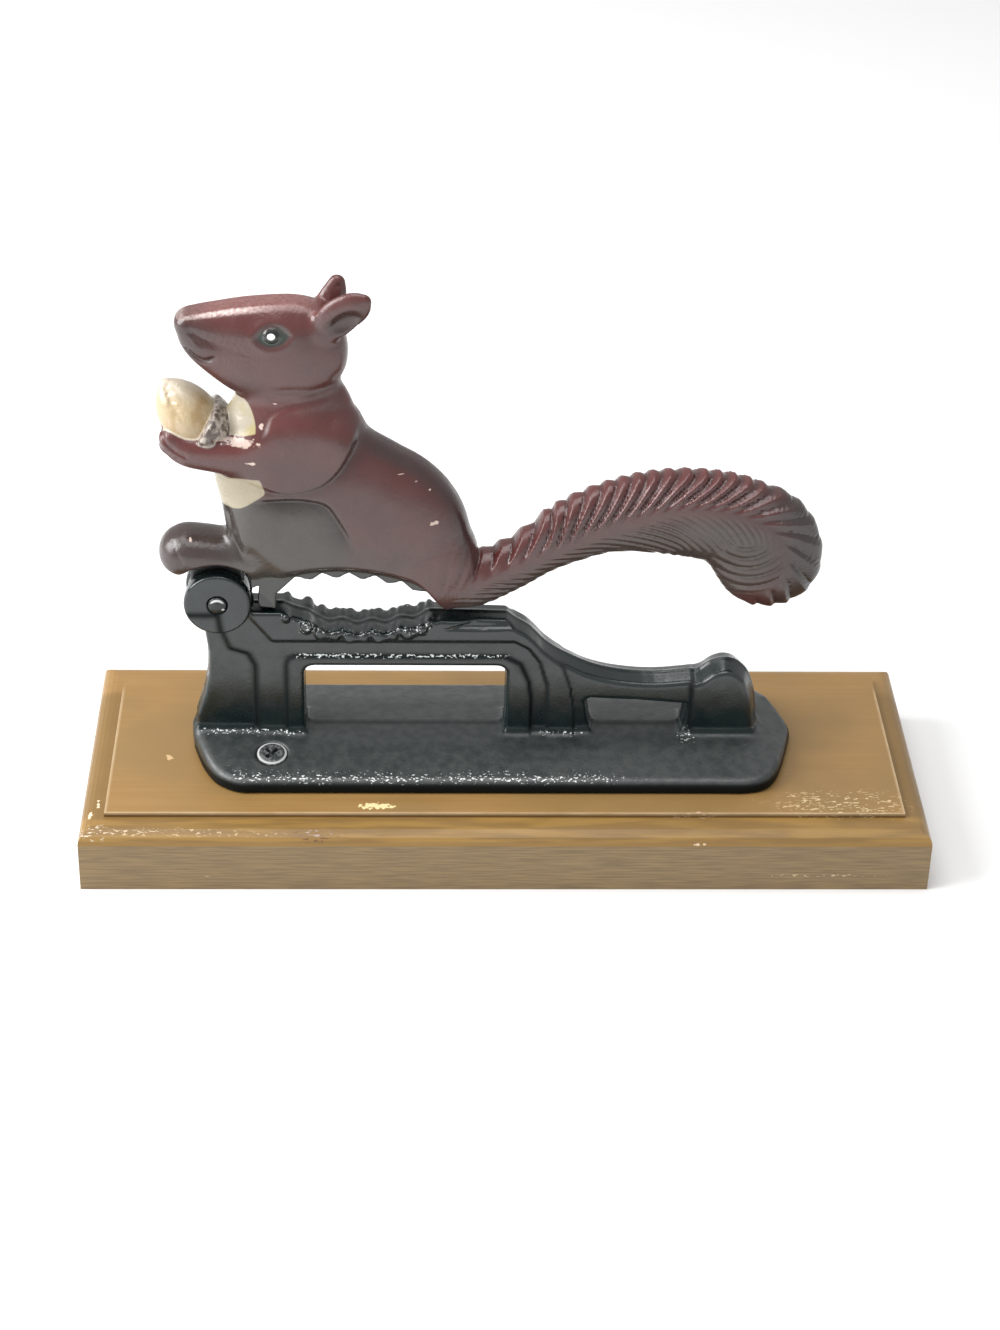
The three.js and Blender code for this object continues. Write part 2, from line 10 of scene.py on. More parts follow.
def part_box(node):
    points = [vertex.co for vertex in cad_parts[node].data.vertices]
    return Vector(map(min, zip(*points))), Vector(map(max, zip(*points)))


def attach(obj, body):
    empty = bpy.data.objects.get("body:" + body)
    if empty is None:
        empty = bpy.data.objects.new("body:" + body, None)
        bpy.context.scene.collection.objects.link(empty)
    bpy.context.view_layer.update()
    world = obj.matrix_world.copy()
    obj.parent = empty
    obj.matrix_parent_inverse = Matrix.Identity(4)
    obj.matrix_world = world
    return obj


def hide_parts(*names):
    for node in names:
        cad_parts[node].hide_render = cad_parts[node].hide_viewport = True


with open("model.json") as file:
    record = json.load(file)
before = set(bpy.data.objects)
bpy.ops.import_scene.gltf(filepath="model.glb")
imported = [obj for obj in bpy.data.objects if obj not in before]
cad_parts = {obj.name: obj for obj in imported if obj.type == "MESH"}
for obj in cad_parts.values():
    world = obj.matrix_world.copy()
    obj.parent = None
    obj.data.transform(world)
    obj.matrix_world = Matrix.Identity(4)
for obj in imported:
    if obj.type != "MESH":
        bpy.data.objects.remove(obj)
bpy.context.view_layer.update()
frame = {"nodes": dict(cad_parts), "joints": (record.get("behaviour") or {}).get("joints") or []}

# The lever nutcracker press: a cast squirrel hinged on a black cast frame, on a painted plinth.
# Each casting is a distance field on a block of voxels, in millimetres, and its surface is netted.
MM = 0.001
# The upper edge of the plinth's step, x and y
STEP_EDGE = (132, 40.8)
# The field of a limb is worked out this near to its skin, and is this large elsewhere
LIMB_REACH = 9
FAR = 60.0
# The size of a voxel
SQUIRREL_STEP = 0.67
FRAME_STEP = 0.7

PIVOT = np.array(frame["joints"][0]["pos_m"]) / MM
PLINTH_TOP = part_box("wooden_plinth")[1][2] / MM

# Sizes of the frame
GAP = 0.3
FLANGE_LENGTH = 204.4
FLANGE_WIDTH = 60
FLANGE_MIDDLE = -3.85
FLANGE_EDGE = 4.4
FLANGE_RISE = 9.3
CROWN_WIDTH = 14
HIP_LENGTH = 13
WEB_THICKNESS = 14
RELIEF = 0.9
SHOULDER_RISE = 43.8
BLOCK_LIFT = 3.6
SADDLE_DEPTH = 4
COLUMN_FOOT = 39.2
WINDOW_LENGTH = 66.9
WINDOW_HEIGHT = 25.8
WINDOW_SINK = 8
WINDOW_CORNER = 3
END_BLOCK_LENGTH = 23
EAR_RADIUS = 11
EAR_SPAN = 18
PIN_RADIUS = 3
LUG_RADIUS = 10.2
LUG_THICKNESS = 7.4
FOOT_CLEAR_RADIUS = 15

FLANGE_LEFT = FLANGE_MIDDLE - FLANGE_LENGTH / 2
FLANGE_RIGHT = FLANGE_MIDDLE + FLANGE_LENGTH / 2
CROWN_TOP = PLINTH_TOP + FLANGE_RISE
SHOULDER_TOP = CROWN_TOP + SHOULDER_RISE
WINDOW_LEFT = FLANGE_LEFT + COLUMN_FOOT
WINDOW_RIGHT = WINDOW_LEFT + WINDOW_LENGTH
BLOCK_START = PIVOT[0] + EAR_RADIUS
SADDLE_START = BLOCK_START + EAR_RADIUS * 0.92
SADDLE_END = WINDOW_RIGHT - WINDOW_LENGTH * 0.38

# Sizes of the squirrel
FIGURE = 100
FIGURE_WIDTH = 26
TAIL_LENGTH = 118
TAIL_DEPTH = 50
TAIL_WIDTH = 16.6
TAIL_ROOT = PIVOT[[0, 2]] + np.array([0.7, 0.09]) * FIGURE
MOUTH_RISE = 11.5
MOUTH_LENGTH = 59
MOUTH_LEFT = PIVOT[0] + 10.9
MOUTH_RIGHT = MOUTH_LEFT + MOUTH_LENGTH


# Curves and outlines
def smooth_curve(points, steps=8):
    """Rows along a Catmull-Rom curve through rows of numbers."""
    p = np.asarray(points, float)
    p = np.vstack([2 * p[0] - p[1], p, 2 * p[-1] - p[-2]])
    t = (np.arange(steps) / steps)[:, None]
    rows = []
    for a, b, c, d in zip(p, p[1:], p[2:], p[3:]):
        square = (2 * a - 5 * b + 4 * c - d) * t**2
        cube = (3 * b - a - 3 * c + d) * t**3
        rows.append(0.5 * (2 * b + (c - a) * t + square + cube))
    return np.vstack(rows + [p[-2:-1]])


def nearest(u, v, curve, radius=None):
    """The nearest place on an open curve, counted in rows, and its distance, positive on the left.
    Where the curve has radii, the nearest is what lies least outside them."""
    best, place, away = np.full((3, *np.broadcast_shapes(u.shape, v.shape)), np.inf)
    radius = np.zeros(len(curve)) if radius is None else radius
    for index in range(len(curve) - 1):
        au, av = curve[index, :2]
        du, dv = curve[index + 1, :2] - curve[index, :2]
        t = np.clip(((u - au) * du + (v - av) * dv) / (du * du + dv * dv), 0, 1)
        gu = u - au - t * du
        gv = v - av - t * dv
        distance = np.hypot(gu, gv)
        score = distance - radius[index] - t * (radius[index + 1] - radius[index])
        closer = score < best
        best = np.where(closer, score, best)
        place = np.where(closer, index + t, place)
        away = np.where(closer, distance * np.where(du * gv >= dv * gu, 1, -1), away)
    return place, away


def outline_distance(u, v, points):
    """Distance to a closed outline, negative inside."""
    points = np.asarray(points, float)
    shape = np.broadcast_shapes(u.shape, v.shape)
    best = np.full(shape, np.inf)
    inside = np.zeros(shape, bool)
    for (au, av), (bu, bv) in zip(points, np.roll(points, -1, axis=0)):
        du, dv = bu - au, bv - av
        t = np.clip(((u - au) * du + (v - av) * dv) / (du * du + dv * dv), 0, 1)
        best = np.minimum(best, np.hypot(u - au - t * du, v - av - t * dv))
        if av != bv:
            inside ^= ((av > v) != (bv > v)) & (u < du * (v - av) / dv + au)
    return np.where(inside, -best, best)


def side_on(grid, points):
    """Distance to a closed outline in XZ, negative inside."""
    return outline_distance(grid.x, grid.z, points)


def right_of(grid, points):
    """Distance from a curve in XZ, positive on its right."""
    return -nearest(grid.x, grid.z, smooth_curve(points))[1]


def along_curve(grid, points, rise, fall):
    """Distance from a curve in XZ, positive on its left, and a share that fades at the curve's ends."""
    curve = smooth_curve(points)
    place, away = nearest(grid.x, grid.z, curve)
    along = place / (len(curve) - 1)
    return away, ramp(along, 0, rise) * ramp(along, 1, fall)


def rounded_corner(u, v, radius, start, steps=4):
    angles = start + np.linspace(0, math.pi / 2, steps + 1)
    return [(u + radius * math.cos(a), v + radius * math.sin(a)) for a in angles]


# Fields: negative inside, positive outside
def join(a, b, blend):
    """Both bodies, with a fillet about blend wide between them."""
    h = np.maximum(blend - np.abs(a - b), 0) / blend
    return np.minimum(a, b) - h * h * blend / 4


def meet(a, b, blend):
    """What lies in both bodies, with a rounded edge."""
    return -join(-a, -b, blend)


def ramp(value, start, end):
    """0 before start, 1 past end, smooth between; start may be the larger."""
    t = np.clip((value - start) / (end - start), 0, 1)
    return t * t * (3 - 2 * t)


def hump(value, width):
    """1 where the value is 0, dying away on both sides."""
    return np.exp(-((value / width) ** 2))


def largest(*fields):
    return reduce(np.maximum, fields)


class Grid:
    """A block of voxels in millimetres."""

    def __init__(self, low, high, step):
        self.low = np.asarray(low, float)
        self.step = step
        counts = np.ceil((np.asarray(high) - self.low) / step).astype(int) + 1
        spans = [self.low[axis] + step * np.arange(counts[axis]) for axis in range(3)]
        self.x = spans[0][:, None, None]
        self.y = spans[1][None, :, None]
        self.z = spans[2][None, None, :]
        self.aside = np.abs(self.y)
        self.from_pivot = np.hypot(self.x - PIVOT[0], self.z - PIVOT[2])
        self.shape = tuple(counts)

    def sample(self, field, points):
        """The field's value at each point, linear between the voxels."""
        field = np.broadcast_to(field, self.shape)
        place = (points - self.low) / self.step
        base = np.clip(np.floor(place).astype(int), 0, np.array(self.shape) - 2)
        part = place - base
        total = 0
        for corner in np.ndindex(2, 2, 2):
            weight = np.prod(np.where(corner, part, 1 - part), axis=1)
            index = base + corner
            total = total + weight * field[index[:, 0], index[:, 1], index[:, 2]]
        return total

    def slope(self, field, points):
        """The field's gradient at each point."""
        rows = []
        for axis in range(3):
            nudge = np.zeros(3)
            nudge[axis] = self.step * 0.5
            rows.append(self.sample(field, points + nudge) - self.sample(field, points - nudge))
        return np.stack(rows, axis=1) / self.step


def limb(grid, stations, squareness=2):
    """A tapering body along a spine. A station is x, z, y, radius, half width along y."""
    curve = smooth_curve(stations)
    place, away = nearest(grid.x, grid.z, curve, curve[:, 3])
    rows = np.arange(len(curve))
    beside, radius, width = (np.interp(place, rows, curve[:, column]) for column in (2, 3, 4))
    near = np.abs(away) < radius + LIMB_REACH
    xs = np.flatnonzero(near.any(axis=(1, 2)))
    zs = np.flatnonzero(near.any(axis=(0, 1)))
    block = (slice(xs[0], xs[-1] + 1), slice(None), slice(zs[0], zs[-1] + 1))
    u = np.abs(away[block]) / radius[block] + 1e-6
    v = np.abs(grid.y - beside[block]) / width[block] + 1e-6
    n = squareness
    size = (u**n + v**n) ** (1 / n)
    steep = size ** (1 - n) * np.hypot(u ** (n - 1) / radius[block], v ** (n - 1) / width[block])
    field = np.full(grid.shape, FAR)
    field[block] = (size - 1) / steep
    return field


def slab(grid, flat, half, blend):
    """A flat outline in XZ, given half a thickness along y, with rounded edges."""
    return meet(flat + 0 * grid.y, grid.aside - half, blend)


def bar(grid, radius, half, blend):
    """A round bar along y through the pivot."""
    return slab(grid, grid.from_pivot - radius, half, blend)


def groove(grid, points, width, depth):
    """Relief of a groove along a curve in XZ, dying away at its ends."""
    away, fade = along_curve(grid, points, 0.15, 0.85)
    return -depth * fade * hump(away, width)


def fold(grid, points, height, reach):
    """Relief of a fold: skin left of the curve stands over what lies right of it."""
    away, fade = along_curve(grid, points, 0.2, 0.75)
    over = ramp(away, -1, 1.5) * np.exp(-np.maximum(away, 0) / reach)
    under = ramp(away, 0.9, -1.2) * np.exp(np.minimum(away, 0) / (reach * 0.8))
    return fade * height * (over - 0.8 * under)


def put(name, data):
    """A new object in the scene."""
    piece = bpy.data.objects.new(name, data)
    bpy.context.scene.collection.objects.link(piece)
    return piece


# Netting a field: one vertex in each voxel cell that the surface crosses
def surface_net(grid, field):
    cells = tuple(np.array(field.shape) - 1)
    size = int(np.prod(cells))
    count = np.zeros(size)
    total = np.zeros((3, size))
    quads = []
    for axis in range(3):
        before = np.moveaxis(field, axis, 0)[:-1]
        after = np.moveaxis(field, axis, 0)[1:]
        crossing = (before < 0) != (after < 0)
        where = np.argwhere(crossing)
        first, second = before[crossing], after[crossing]
        others = [(axis + 1) % 3, (axis + 2) % 3]
        order = [axis] + [a for a in range(3) if a != axis]
        spot = np.empty_like(where)
        spot[:, order] = where
        point = spot.astype(float)
        point[:, axis] += first / (first - second)
        corners = []
        for du, dv in ((-1, -1), (0, -1), (0, 0), (-1, 0)):
            cell = spot.copy()
            cell[:, others[0]] += du
            cell[:, others[1]] += dv
            flat = np.ravel_multi_index(cell.T, cells)
            count += np.bincount(flat, minlength=size)
            for a in range(3):
                total[a] += np.bincount(flat, weights=point[:, a], minlength=size)
            corners.append(flat)
        quad = np.stack(corners, axis=1)
        outward = (first < 0)[:, None]
        quads.append(np.where(outward, quad, quad[:, ::-1]))
    used = np.flatnonzero(count)
    number = np.zeros(size, int)
    number[used] = np.arange(len(used))
    points = (total[:, used] / count[used]).T * grid.step + grid.low
    return points, number[np.vstack(quads)]


def relax(points, quads):
    """Each vertex moves half way to the middle of its neighbours."""
    total = np.zeros_like(points)
    count = np.zeros(len(points))
    for a, b in ((0, 1), (1, 2), (2, 3), (3, 0)):
        for start, end in ((quads[:, a], quads[:, b]), (quads[:, b], quads[:, a])):
            count += np.bincount(start, minlength=len(points))
            for axis in range(3):
                weights = points[end, axis]
                total[:, axis] += np.bincount(start, weights=weights, minlength=len(points))
    return 0.5 * points + 0.5 * total / count[:, None]


def settle(grid, field, points):
    """Moves each vertex on to the surface where the field is zero."""
    for _ in range(2):
        slope = grid.slope(field, points)
        size = np.maximum((slope**2).sum(axis=1), 0.05)
        shift = (grid.sample(field, points) / size)[:, None] * slope
        points = points - np.clip(shift, -grid.step, grid.step)
    return points


def casting(name, grid, field, masks):
    """A mesh object of the field's surface, with a number at each vertex for every mask."""
    points, quads = surface_net(grid, field)
    points = settle(grid, field, relax(points, quads))
    normals = grid.slope(field, points)
    normals /= np.linalg.norm(normals, axis=1)[:, None]
    mesh = bpy.data.meshes.new(name)
    mesh.from_pydata(points * MM, [], quads)
    mesh.update()
    for mask, values in masks.items():
        data = mesh.attributes.new(mask, "FLOAT", "POINT").data
        data.foreach_set("value", grid.sample(values, points).astype(np.float32))
    mesh.shade_smooth()
    mesh.normals_split_custom_set_from_vertices(normals)
    return put(name, mesh)


# The squirrel's body. Stations are shares of the figure, measured from the pivot.
def figure_stations(shares, side=1):
    rows = np.asarray(shares, float)
    x = PIVOT[0] + rows[:, 0] * FIGURE
    z = PIVOT[2] + rows[:, 1] * FIGURE
    y = side * rows[:, 2] * FIGURE_WIDTH
    return np.stack([x, z, y, rows[:, 3] * FIGURE, rows[:, 4] * FIGURE_WIDTH], axis=1)


def member(grid, shares, squareness=2, side=1):
    """A limb of the figure."""
    return limb(grid, figure_stations(shares, side), squareness)


def tail_stations(shares):
    rows = np.asarray(shares, float)
    x = TAIL_ROOT[0] + rows[:, 0] * TAIL_LENGTH
    z = TAIL_ROOT[1] + rows[:, 1] * TAIL_DEPTH
    return np.stack([x, z, 0 * x, rows[:, 2] * TAIL_DEPTH, rows[:, 3] * TAIL_WIDTH], axis=1)


HEAD_SHARES = [
    (-0.048, 0.973, 0, 0.055, 0.22), (0.01, 0.948, 0, 0.104, 0.29), (0.09, 0.923, 0, 0.145, 0.34),
    (0.18, 0.903, 0, 0.183, 0.38), (0.246, 0.888, 0, 0.186, 0.385),
]
CHEST_SHARES = [
    (0.262, 0.748, 0, 0.129, 0.33), (0.254, 0.643, 0, 0.2, 0.36), (0.24, 0.523, 0, 0.232, 0.38),
    (0.22, 0.443, 0, 0.213, 0.36),
]
TRUNK_SHARES = [
    (0.25, 0.493, 0, 0.22, 0.44), (0.31, 0.426, 0, 0.25, 0.46), (0.37, 0.358, 0, 0.272, 0.48),
    (0.45, 0.293, 0, 0.285, 0.48), (0.515, 0.233, 0, 0.297, 0.48), (0.585, 0.168, 0, 0.25, 0.44),
]
THIGH_SHARES = [
    (0.18, 0.283, 0, 0.145, 0.48), (0.27, 0.223, 0, 0.17, 0.48), (0.35, 0.183, 0, 0.135, 0.46),
]
FOOT_SHARES = [
    (0.11, 0.14, 0, 0.068, 0.34), (0, 0.16, 0, 0.073, 0.36), (-0.085, 0.166, 0, 0.079, 0.37),
    (-0.108, 0.16, 0, 0.08, 0.35),
]
UPPER_ARM_SHARES = [
    (0.37, 0.593, 0, 0.115, 0.46), (0.29, 0.578, 0, 0.148, 0.48), (0.21, 0.553, 0, 0.13, 0.48),
]
FOREARM_SHARES = [
    (0.21, 0.553, 0.22, 0.11, 0.24), (0.11, 0.546, 0.25, 0.08, 0.21), (0.02, 0.551, 0.25, 0.063, 0.19),
    (-0.07, 0.561, 0.22, 0.056, 0.19), (-0.12, 0.588, 0.18, 0.05, 0.17),
]
NUT_SHARES = [
    (-0.027, 0.623, 0, 0.074, 0.3), (-0.074, 0.66, 0, 0.09, 0.34), (-0.104, 0.703, 0, 0.071, 0.27),
    (-0.138, 0.757, 0, 0.026, 0.1),
]
CAP_SHARES = [
    (0.03, 0.6, 0, 0.035, 0.2), (0.01, 0.618, 0, 0.06, 0.4), (-0.012, 0.634, 0, 0.078, 0.47),
]
NEAR_EAR_SHARES = [
    (0.355, 0.985, 0.22, 0.045, 0.12), (0.402, 1.03, 0.29, 0.062, 0.11), (0.447, 1.068, 0.33, 0.054, 0.09),
    (0.481, 1.094, 0.35, 0.026, 0.06),
]
FAR_EAR_SHARES = [
    (0.35, 0.985, 0.22, 0.042, 0.12), (0.385, 1.035, 0.27, 0.044, 0.1), (0.397, 1.078, 0.31, 0.027, 0.08),
]
TAIL_SHARES = [
    (0.007, 0.026, 0.3, 0.6), (0.1, -0.074, 0.189, 0.5), (0.215, 0.037, 0.165, 0.45),
    (0.3, 0.17, 0.17, 0.44), (0.385, 0.302, 0.21, 0.46), (0.482, 0.396, 0.237, 0.47),
    (0.592, 0.438, 0.278, 0.49), (0.7, 0.434, 0.304, 0.5), (0.8, 0.394, 0.318, 0.5),
    (0.863, 0.316, 0.34, 0.5), (0.9, 0.256, 0.366, 0.5), (0.922, 0.176, 0.37, 0.5),
    (0.933, 0.106, 0.354, 0.5),
]

# Places and sizes on the squirrel, x and z in millimetres
ROOF_LINE = [(-110, 180), (-104, 184.6), (-99, 186.2), (-92.8, 187.4), (-84.8, 188.8), (-77, 189.6),
             (-70, 189.9), (-64.3, 189.6), (-58, 188.4), (-52, 186), (-46, 182)]
MOUTH_LINE = [(-103.5, 175.5), (-100.5, 174.2), (-98.8, 172.6), (-96.7, 171.6), (-94.5, 171.9), (-92, 174)]
MUZZLE = (-96.3, 175.4)
EYE = (-74.6, 180.9)
EYE_LENGTH = 4.9
EYE_HEIGHT = 3
PUPIL = (-75, 181.5)
CAP_EDGE = (-97.1, 147.6)
NOSE = (-101.4, 183.6)
CHEEK_FOLD = [(-77, 161.5), (-69.4, 162.2), (-63.3, 162), (-58.5, 162.6), (-55.6, 164.6), (-54.2, 168.8)]
NECK_FOLD = [(-77.5, 158.8), (-72.1, 158.9), (-66, 160.2), (-60.5, 161.2)]
HAND_FOLD = [(-113, 146.5), (-111.6, 142.6), (-108.3, 139.4), (-103.5, 137.4)]
ARM_FOLD = [(-86, 132), (-79.5, 129.7), (-74.5, 128.3), (-68.9, 128.1), (-62.6, 129.6), (-58.3, 132.1),
            (-54.4, 136.2), (-51.5, 141), (-49.5, 146), (-48.6, 151)]
SHOULDER_FOLD = [(-54.5, 159.5), (-60.9, 158.2), (-66.3, 157.4), (-71.4, 156), (-76, 152.6), (-77.6, 147.8),
                 (-81, 143.2)]
FOOT_LINE = [(-82, 97), (-85.8, 101), (-87.1, 103.5), (-89.2, 113.2), (-90.8, 121)]
THIGH_FOLD = [(-84, 124), (-73.8, 124.9), (-65.6, 124.9), (-58.7, 123.2), (-54.7, 117.6), (-51.9, 112),
              (-48.6, 103)]
BELLY_LINE = [(-84, 93.6), (-74.6, 93.6), (-66.2, 95.4), (-56.3, 96.6), (-45.8, 96.4), (-36, 95)]
BIB_OUTLINE = [(-100, 165), (-88.5, 160.4), (-83.3, 157.2), (-80.9, 152.1), (-80.6, 147.4), (-81.2, 142),
               (-80.5, 136), (-78.2, 128), (-79.2, 126), (-85.1, 121.5), (-89, 120.1), (-95, 119.6),
               (-104, 125)]
MIDRIB = [(-40, 82), (-24, 86), (-12, 91), (-4.1, 94.6), (6.5, 99.2), (17.2, 104.2), (27.7, 110.1),
          (38.2, 114.6), (48.8, 118), (58, 119.4), (69.1, 118.5), (77.5, 116), (84.5, 112), (89, 106),
          (90, 99.5), (88, 93.5), (83.5, 89), (77.5, 84.5), (70, 80)]
CURL = (78.5, 98.5)
# Along the midrib in millimetres: how far the lobes lean back, and how many have been passed
TAIL_SWEEP = ((0, 40, 80, 110, 130, 160, 190), (5.5, 7, 12, 13, 10, 4, 2))
TAIL_COUNT = ((0, 60, 100, 125, 140, 165, 200), (0, 10.4, 19, 24.4, 27.2, 31.4, 37))
HAIR_PITCH = 4.3


def head_field(grid):
    head = member(grid, HEAD_SHARES, 2.6)
    nose = slab(grid, np.hypot(grid.x - NOSE[0], grid.z - NOSE[1]) - 3.4, 5.2, 5)
    head = join(head, nose, 3)
    roof = smooth_curve(ROOF_LINE)
    top = np.interp(grid.x, roof[:, 0], roof[:, 1])
    slant = meet(grid.aside - 5.2, 0 * grid.y, 2)
    head = meet(head, (grid.z - top + 0.04 * grid.aside + 1.6 * slant) * 0.6, 1.2)
    return head - face_relief(grid)


def eye_shape(grid):
    """Distance to the almond outline of the eye, negative inside."""
    x = grid.x - EYE[0]
    z = grid.z - EYE[1] - 0.08 * x
    radius = (EYE_LENGTH**2 + EYE_HEIGHT**2) / (2 * EYE_HEIGHT)
    shift = radius - EYE_HEIGHT
    return np.maximum(np.hypot(x, z - shift), np.hypot(x, z + shift)) - radius


def face_relief(grid):
    relief = groove(grid, MOUTH_LINE, 0.75, 1)
    muzzle = np.hypot((grid.x - MUZZLE[0]) / 5.5, (grid.z - MUZZLE[1]) / 3.4)
    relief = relief + 0.35 * ramp(muzzle, 1.1, 0.2)
    almond = eye_shape(grid)
    relief = relief - 0.7 * ramp(almond, 1.4, -0.6) + 0.15 * hump(almond - 1.9, 1)
    ball = np.hypot(grid.x - PUPIL[0], grid.z - PUPIL[1]) / 2.6
    return relief + 1.1 * np.sqrt(np.clip(1 - ball**2, 0, 1))


def ear_field(grid, shares, side):
    """A cupped ear: a leaf with a hollow on its outer side."""
    stations = figure_stations(shares, side)
    ear = limb(grid, stations)
    middle = stations[1]
    along = stations[2] - stations[0]
    lean = math.atan2(along[1], along[0])
    x = grid.x - middle[0] - 0.36 * middle[3]
    z = grid.z - middle[1] + 0.3 * middle[3]
    u = (x * math.cos(lean) + z * math.sin(lean)) / (middle[3] * 0.98)
    v = (z * math.cos(lean) - x * math.sin(lean)) / (middle[3] * 0.66)
    w = (grid.y - middle[2] - side * middle[4]) / 3
    hollow = (np.sqrt(u * u + v * v + w * w) - 1) * 2.2
    return meet(ear, -hollow, 1.6), hollow


def trunk_field(grid):
    chest = member(grid, CHEST_SHARES, 2.2)
    trunk = member(grid, TRUNK_SHARES, 2.6)
    thigh = member(grid, THIGH_SHARES, 2.4)
    body = join(join(chest, trunk, 6), thigh, 6)
    creased = groove(grid, BELLY_LINE, 1.1, 1) + groove(grid, FOOT_LINE, 1.3, 0.9)
    return body - fold(grid, THIGH_FOLD, 1.9, 8) - creased


def arm_field(grid):
    upper = member(grid, UPPER_ARM_SHARES, 2.3)
    near = member(grid, FOREARM_SHARES, 2.2, -1)
    far = member(grid, FOREARM_SHARES, 2.2, 1)
    return join(upper, join(near, far, 1.5), 5)


def tail_relief(grid):
    """Plump lobes over the midrib, finer hair under it, and both fan round the curl."""
    curve = smooth_curve(MIDRIB)
    steps = np.hypot(*np.diff(curve[:, :2], axis=0).T)
    lengths = np.concatenate([[0], np.cumsum(steps)])
    place, away = nearest(grid.x, grid.z, curve)
    along = np.interp(place, np.arange(len(curve)), lengths)
    upper = np.clip(away / 13, 0, 1.3)
    sweep = np.interp(along, *TAIL_SWEEP)
    count = np.interp(along, *TAIL_COUNT)
    phase = count - 0.25 * sweep * (1.3 * upper - 0.3 * upper**2)
    part = phase - np.floor(phase)
    lobes = np.minimum(ramp(part, 0, 0.34), 1 - 0.75 * (part - 0.34) / 0.66) - 0.6
    rise = ramp(away, 0.3, 4) * (1 - 0.75 * ramp(upper, 0.75, 1.15))
    rise = rise * (1 - 0.4 * ramp(along, 115, 140)) * (1.9 - 0.7 * ramp(along, 70, 20))
    lower = np.clip(-away / 11, 0, 1.4)
    hair = np.abs(np.sin(math.pi * (along - 20 * lower**0.8) / HAIR_PITCH)) - 0.6
    fall = ramp(away, -0.3, -4) * (0.75 + 0.25 * np.sin(along / 4.7))
    swirl = np.hypot(grid.x - CURL[0] + 2, grid.z - CURL[1] - 14) / 3.6
    in_curl = ramp(np.hypot((grid.x - CURL[0]) / 13, (grid.z - CURL[1]) / 9.5), 1.15, 0.75) * (away < 0)
    arcs = np.abs(np.sin(math.pi * swirl)) - 0.7
    relief = rise * lobes + (1 - in_curl) * 0.55 * fall * hair + in_curl * 0.5 * arcs
    return relief * ramp(grid.x, -30, -8)


def tail_field(grid):
    tail = limb(grid, tail_stations(TAIL_SHARES), 2.3)
    return tail - tail_relief(grid)


def arch_z(x):
    middle = MOUTH_LEFT + MOUTH_LENGTH * 0.49
    share = (x - middle) / (MOUTH_RIGHT - middle)
    return PIVOT[2] + MOUTH_RISE - MOUTH_RISE * 0.62 * share**2


def jaw_outline():
    """The toothed strip: one long tooth by the pivot, then short ones along the arch."""
    tooth, pitch, count = 2.2, 8.6, 5
    top = PIVOT[2] + MOUTH_RISE + 2 * tooth
    stop = MOUTH_LEFT + 3.9
    tip = arch_z(stop) - 8.4
    long_tooth = ((-1.7, 2), (-0.9, 0), (4.2, -0.6), (4.4, 5), (7.5, 8.2))
    points = [(MOUTH_RIGHT, top), (MOUTH_LEFT, top)]
    points += [(MOUTH_LEFT, arch_z(MOUTH_LEFT)), (stop - 1.1, arch_z(stop))]
    points += [(stop + x, tip + z) for x, z in long_tooth]
    first = MOUTH_RIGHT - 2.5 * tooth - (count - 1) * pitch
    for index in range(count):
        x = first + index * pitch
        points += [(x - pitch / 2, arch_z(x - pitch / 2)), (x - tooth / 3, arch_z(x) - 0.9 * tooth)]
        points += [(x + tooth / 3, arch_z(x) - tooth)]
    return points + [(MOUTH_RIGHT - tooth / 2, arch_z(MOUTH_RIGHT))]


def underside_reflection_and_shade(grid):
    """Where a dull grey-olive is painted as reflection and shade: the thigh's front, the belly, the foot and
    the tail's lower half.
    """
    thigh = ramp(right_of(grid, THIGH_FOLD), -3, 2) * ramp(grid.x, -38, -58) * ramp(grid.z, 130, 126)
    tail = np.maximum(0.8 * ramp(right_of(grid, MIDRIB), -2, 7), 0.7 * ramp(grid.x, 84, 96))
    belly = 0.85 * ramp(grid.z, 118, 98) * ramp(grid.x, -14, -60)
    foot = 0.4 * ramp(grid.z, 112, 100) * ramp(grid.x, -84, -90)
    return largest(thigh, tail * ramp(grid.x, -30, -10), belly, foot)


def creases(grid):
    """How much painted shade darkens each crease: 1 at its bottom, dying away fast above it and slowly on its
    lower side.
    """
    lines = ((MOUTH_LINE, 0.8, 0.8), (CHEEK_FOLD, 3, 0.4), (NECK_FOLD, 1.5, 0.3), (ARM_FOLD, 4, 0.75),
             (SHOULDER_FOLD, 2.4, 0.4), (THIGH_FOLD, 2.8, 1), (BELLY_LINE, 1.2, 0.6), (HAND_FOLD, 0.8, 0.4),
             (FOOT_LINE, 2.2, 1))
    total = 0
    for line, reach, strength in lines:
        away, fade = along_curve(grid, line, 0.12, 0.88)
        below = np.exp(np.minimum(away, 0) / reach)
        total = np.maximum(total, strength * fade * below * ramp(away, 0.9, -0.2))
    return total


def figure_fields(grid):
    """The painted figure, its arms, its chest with the trunk, its head, and the hollows of its ears."""
    near_ear, near_hollow = ear_field(grid, NEAR_EAR_SHARES, -1)
    far_ear, far_hollow = ear_field(grid, FAR_EAR_SHARES, 1)
    head = join(head_field(grid), join(near_ear, far_ear, 1), 2.2)
    chest = trunk_field(grid)
    arms = arm_field(grid)
    body = join(head, chest, 2.5) - groove(grid, CHEEK_FOLD, 1.6, 0.6) - groove(grid, NECK_FOLD, 1, 0.2)
    body = join(body, member(grid, FOOT_SHARES, 2.2), 5)
    body = join(body, tail_field(grid), 5)
    figure = join(body, arms, 1.6) - fold(grid, ARM_FOLD, 1.5, 6) - fold(grid, SHOULDER_FOLD, 0.4, 6)
    for shift in (0, 2.2):
        finger = [(x + shift, z + 0.7 * shift) for x, z in HAND_FOLD]
        figure = figure - groove(grid, finger, 0.6, 0.6)
    return figure, arms, chest, head, np.minimum(near_hollow, far_hollow)


